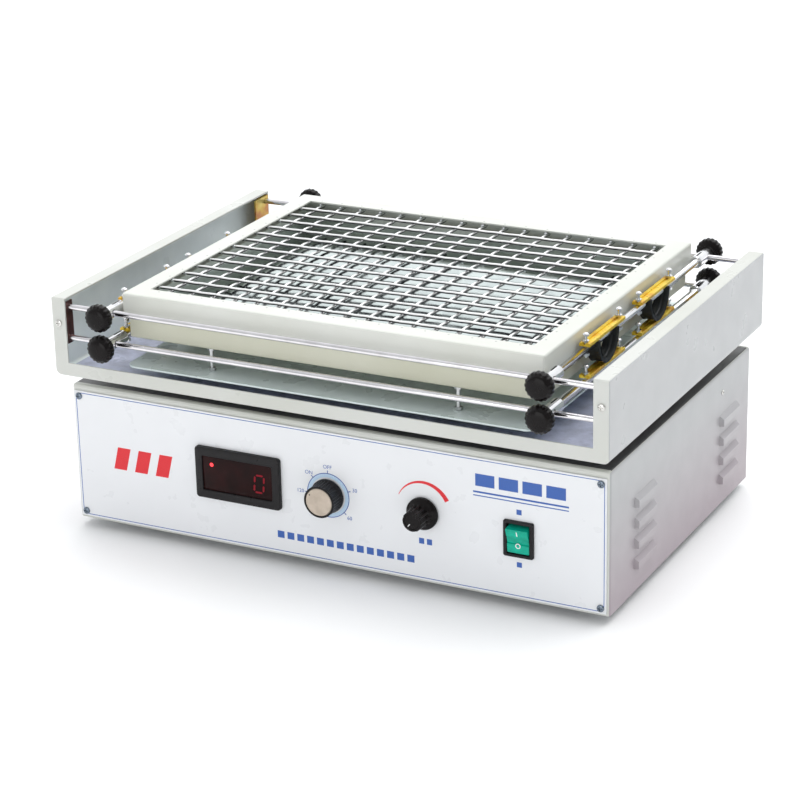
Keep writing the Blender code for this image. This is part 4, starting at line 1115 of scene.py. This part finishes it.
BAR_RADIUS = {"upper": 3.0, "lower": 3.5}
SOCKET_LENGTH = 28.0
ROD_BORE, STUD_BORE, STUD_DEPTH, STUD_BEYOND = 3.1, 2.7, 7.0, 5.0


def clamp_bars():
    rod_low, rod_high = corners_of("cross_rod_rear_upper")
    rod_y = (rod_low.y + rod_high.y) / 2
    for side in SIDES:
        for level in LEVELS:
            node = f"clamp_bar_{side}_{level}"
            low, high = corners_of(node)
            radius, socket = BAR_RADIUS[level], (high.x - low.x) / 2
            x, z, end = (low.x + high.x) / 2, (low.z + high.z) / 2, high.y
            inner = end - SOCKET_LENGTH
            half = [(0, end), (2.9, end), (socket - 0.7, end), (socket, end - 0.7), (socket, inner + 1.2),
                    (socket - 0.9, inner), (radius + 0.4, inner), (radius, inner - 0.6)]
            profile = half + [(r, -y) for r, y in reversed(half)]
            bar = placed(turned(profile, 36), (x, 0, z), "Y")
            cutters = []
            for sign in (-1, 1):
                cutters.append(placed(prism(24, ROD_BORE, 30), (x - 15, sign * rod_y, z), "X"))
                stud_low = end - STUD_DEPTH if sign > 0 else -end - STUD_BEYOND
                stud = prism(24, STUD_BORE, STUD_DEPTH + STUD_BEYOND)
                cutters.append(placed(stud, (x, stud_low, z), "Y"))
                ends = sorted((sign * (inner + 2.5), sign * (inner + 14)))
                cutters.append(block((x - 0.75, ends[0], z + 1.5), (x + 0.75, ends[1], z + 12)))
            bar = carved(bar, cutters)
            piece(f"bar_{side}_{level}", bar, "chrome_bar", f"clamp_{side}", [node])


def dome(radius, low, high):
    """The outer curve of a shallow dome, from its crown to its edge."""
    angles = [math.pi / 2 * step / DOME_STEPS for step in range(DOME_STEPS + 1)]
    return [(radius * math.sin(angle), low + (high - low) * math.cos(angle)) for angle in angles]


KNOB_RELIEF, STUD = 0.7, 5.0                   # taken off the CAD's radius, and the stud's length


def clamp_knobs():
    for side in SIDES:
        for end, sign in ENDS.items():
            for level in LEVELS:
                node = f"clamp_knob_{side}_{end}_{level}"
                low, high = corners_of(node)
                at = joint_at(node + "_turn")
                radius = (high.x - low.x) / 2 - KNOB_RELIEF
                foot, depth = 0.3, max(abs(low.y), abs(high.y)) - abs(at.y)
                profile = dome(radius * 0.80, depth - 2.4, depth) + [
                    (radius * 0.93, depth - 3.4), (radius, depth - 5.0), (radius, 6.4), (radius, 5.0),
                    (radius - 0.3, 3.6), (radius - 1.3, 2.4), (radius * 0.66, 1.2),
                    (radius * 0.58, foot + 0.3), (radius * 0.54, foot), (2.3, foot), (2.3, -STUD + 0.4),
                    (1.9, -STUD), (0, -STUD)]
                knob = flute(turned(profile, 144), 18, 0.6, 3.0, depth - 2.6, radius * 0.82)
                piece(f"knob_{side}_{end}_{level}", placed(knob, at, FACING[sign]), "bakelite", node,
                      [node], angle=50)


cross_rods()
clamp_bars()
clamp_knobs()


# Vessel holders

STRIP_THICK, STRIP_HALF_WIDTH = 2.6, 4.5
BOLT_SPREAD, BOLT_RADIUS, BOLT_RISE = 33.5, 1.2, 8.2


def strip_outline():
    """Section of a holder strip: a shallow channel with rounded edges, as (across, up)."""
    half, thick, groove = STRIP_HALF_WIDTH, STRIP_THICK, 1.1
    return [(-half, 0), (half, 0), (half, thick - 0.3), (half - 0.3, thick), (1.5, thick),
            (1.1, thick - groove), (-1.1, thick - groove), (-1.5, thick), (-half + 0.3, thick),
            (-half, thick - 0.3)]


def holder_bolt(x, y, strip_low, bar_low):
    """A round-headed bolt standing through a strip and a bar, with a nut on each side."""
    head_high = strip_low + STRIP_THICK + BOLT_RISE
    profile = [(0, head_high), (1.3, head_high - 0.15), (2.3, head_high - 0.8), (2.7, head_high - 1.7),
               (2.5, head_high - 2.6), (BOLT_RADIUS, head_high - 2.9), (BOLT_RADIUS, bar_low - 3.4),
               (BOLT_RADIUS - 0.3, bar_low - 3.7), (0, bar_low - 3.7)]
    nut = placed(prism(6, 2.9, 1.8), (x, y, strip_low + STRIP_THICK))
    low_nut = placed(prism(6, 2.9, 2.0), (x, y, bar_low - 2.0))
    return merged([placed(turned(profile, 24), (x, y, 0)), nut, low_nut])


LOOP_WIDTH, LOOP_THICK, LOOP_TOP_HALF = 12.0, 3.6, 19.2
LOOP_STEPS, LOOP_POWER = 28, 0.95              # a power below 1 spreads the U's sides


def loop_outline():
    """Section of the rubber band, as (across, up), grooved on top; it crosses itself at its sides."""
    wide, half = LOOP_WIDTH / 2, LOOP_THICK / 2
    edge, lip = wide * 0.93, half * 0.6
    grooves = []
    for groove in (2.0, -2.0):
        grooves += [(groove + 0.7, half), (groove, half - 0.7), (groove - 0.7, half)]
    return [(-edge, -half), (-wide, -lip), (wide, -lip), (edge, -half), (edge, half), *grooves, (wide, lip),
            (-wide, lip), (-edge, half)]


def rubber_band(x, centre, low, high):
    """A band hanging in a U between the strips."""
    points = []
    for step in range(LOOP_STEPS + 1):
        angle = math.pi * step / LOOP_STEPS
        y = -LOOP_TOP_HALF * math.copysign(abs(math.cos(angle)) ** LOOP_POWER, math.cos(angle))
        z = high - (high - low) * math.sin(angle)
        points.append(Vector((x, centre + y, z)))
    return swept(loop_outline(), points, X)


def vessel_holders():
    for side in SIDES:
        for end in ENDS:
            node = f"vessel_holder_{side}_{end}"
            low, high = corners_of(node)
            x, centre = (low.x + high.x) / 2, (low.y + high.y) / 2
            strips, bolts, bar_tops = [], [], {}
            for level in LEVELS:
                bar_low, bar_high = corners_of(f"clamp_bar_{side}_{level}")
                bar_z, radius = (bar_low.z + bar_high.z) / 2, BAR_RADIUS[level]
                strip_low = bar_z + radius + 0.3
                bar_tops[level] = strip_low
                ends = [Vector((x, y, strip_low)) for y in (low.y, high.y)]
                strips.append(swept(strip_outline(), ends, X))
                bolts += [holder_bolt(x, centre + spread, strip_low, bar_z - radius)
                          for spread in (-BOLT_SPREAD, BOLT_SPREAD)]
            body = f"clamp_{side}"
            piece(f"holder_strips_{side}_{end}", merged(strips), "yellow", body, [node])
            piece(f"holder_bolts_{side}_{end}", merged(bolts), "chrome_bar", body)
            loop_low = bar_tops["lower"] + STRIP_THICK + LOOP_THICK / 2 + 0.1
            loop_high = bar_tops["upper"] - 0.4
            piece(f"holder_loop_{side}_{end}", rubber_band(x, centre, loop_low, loop_high), "rubber", body,
                  [f"rubber_loop_{side}_{end}"], angle=50)


vessel_holders()


# Tray fittings

def bracket_screws():
    low, high = corners_of("tray")
    upper, lower = (corners_of(f"cross_rod_front_{level}")[0].z for level in LEVELS)
    z = (upper + lower) / 2 + 2.5
    for name, side, end in CORNERS:
        face = high.y if end > 0 else low.y
        x = side * (high.x - 6.6)
        head = placed(screw_head(3.1, 1.6), (x, face, z), FACING[end])
        nut = placed(prism(6, 3.2, 2.2), (x, face - end * 5.4, z), "Y")
        shank = placed(prism(16, 1.6, 8), (x, face + end * 0.3, z), FACING[-end])
        piece(f"bracket_screw_{name}", merged([head, nut, shank]), "screw", "tray")


bracket_screws()


# Floor and light

def add_floor():
    bpy.ops.mesh.primitive_plane_add(size=40, location=(0, 0, 0))
    floor = bpy.context.object
    floor.name = "floor"
    look = Look("pale_floor", (0.94, 0.94, 0.94), 0.6)
    look.paint(look.drift(3, 2, (0.93, 0.93, 0.93), (0.95, 0.95, 0.95)))
    floor.data.materials.append(look.material)


def add_light(name, place, aim, size, energy):
    lamp = bpy.data.lights.new(name, "AREA")
    lamp.shape = "RECTANGLE"
    lamp.size, lamp.size_y = size
    lamp.energy = energy
    obj = bpy.data.objects.new(name, lamp)
    obj.location = place
    obj.rotation_euler = (Vector(aim) - Vector(place)).to_track_quat("-Z", "Y").to_euler()
    bpy.context.scene.collection.objects.link(obj)


ROOM_STRENGTH, ROOM_LEAN = 0.88, (-0.28, 0.38, 0.0)
SUN_STRENGTH, SUN_SPREAD, SUN_AIM = 1.8, 60, (-0.15, -0.35, -1)


def add_studio():
    """A bright room, dimmer in front and on the right than behind, and soft light from overhead."""
    world = bpy.data.worlds.new("studio")
    bpy.context.scene.world = world
    world.use_nodes = True
    nodes, links = world.node_tree.nodes, world.node_tree.links
    background = nodes["Background"]
    background.inputs["Color"].default_value = (0.96, 0.98, 1.0, 1)
    place, lean, strength = (nodes.new("ShaderNode" + kind) for kind in ("TexCoord", "VectorMath", "Math"))
    lean.operation = "DOT_PRODUCT"
    lean.inputs[1].default_value = ROOM_LEAN
    strength.inputs[1].default_value = ROOM_STRENGTH
    links.new(place.outputs["Generated"], lean.inputs[0])
    links.new(lean.outputs["Value"], strength.inputs[0])
    links.new(strength.outputs[0], background.inputs["Strength"])
    add_light("key", (-0.1, -2.3, 0.6), (0, 0, 0.08), (1.6, 1.0), 9)
    overhead = bpy.data.lights.new("overhead", "SUN")
    overhead.energy, overhead.angle = SUN_STRENGTH, math.radians(SUN_SPREAD)
    sun = bpy.data.objects.new("overhead", overhead)
    sun.rotation_euler = Vector(SUN_AIM).to_track_quat("-Z", "Y").to_euler()
    bpy.context.scene.collection.objects.link(sun)
    bpy.context.scene.view_settings.view_transform = "Standard"


add_floor()
add_studio()
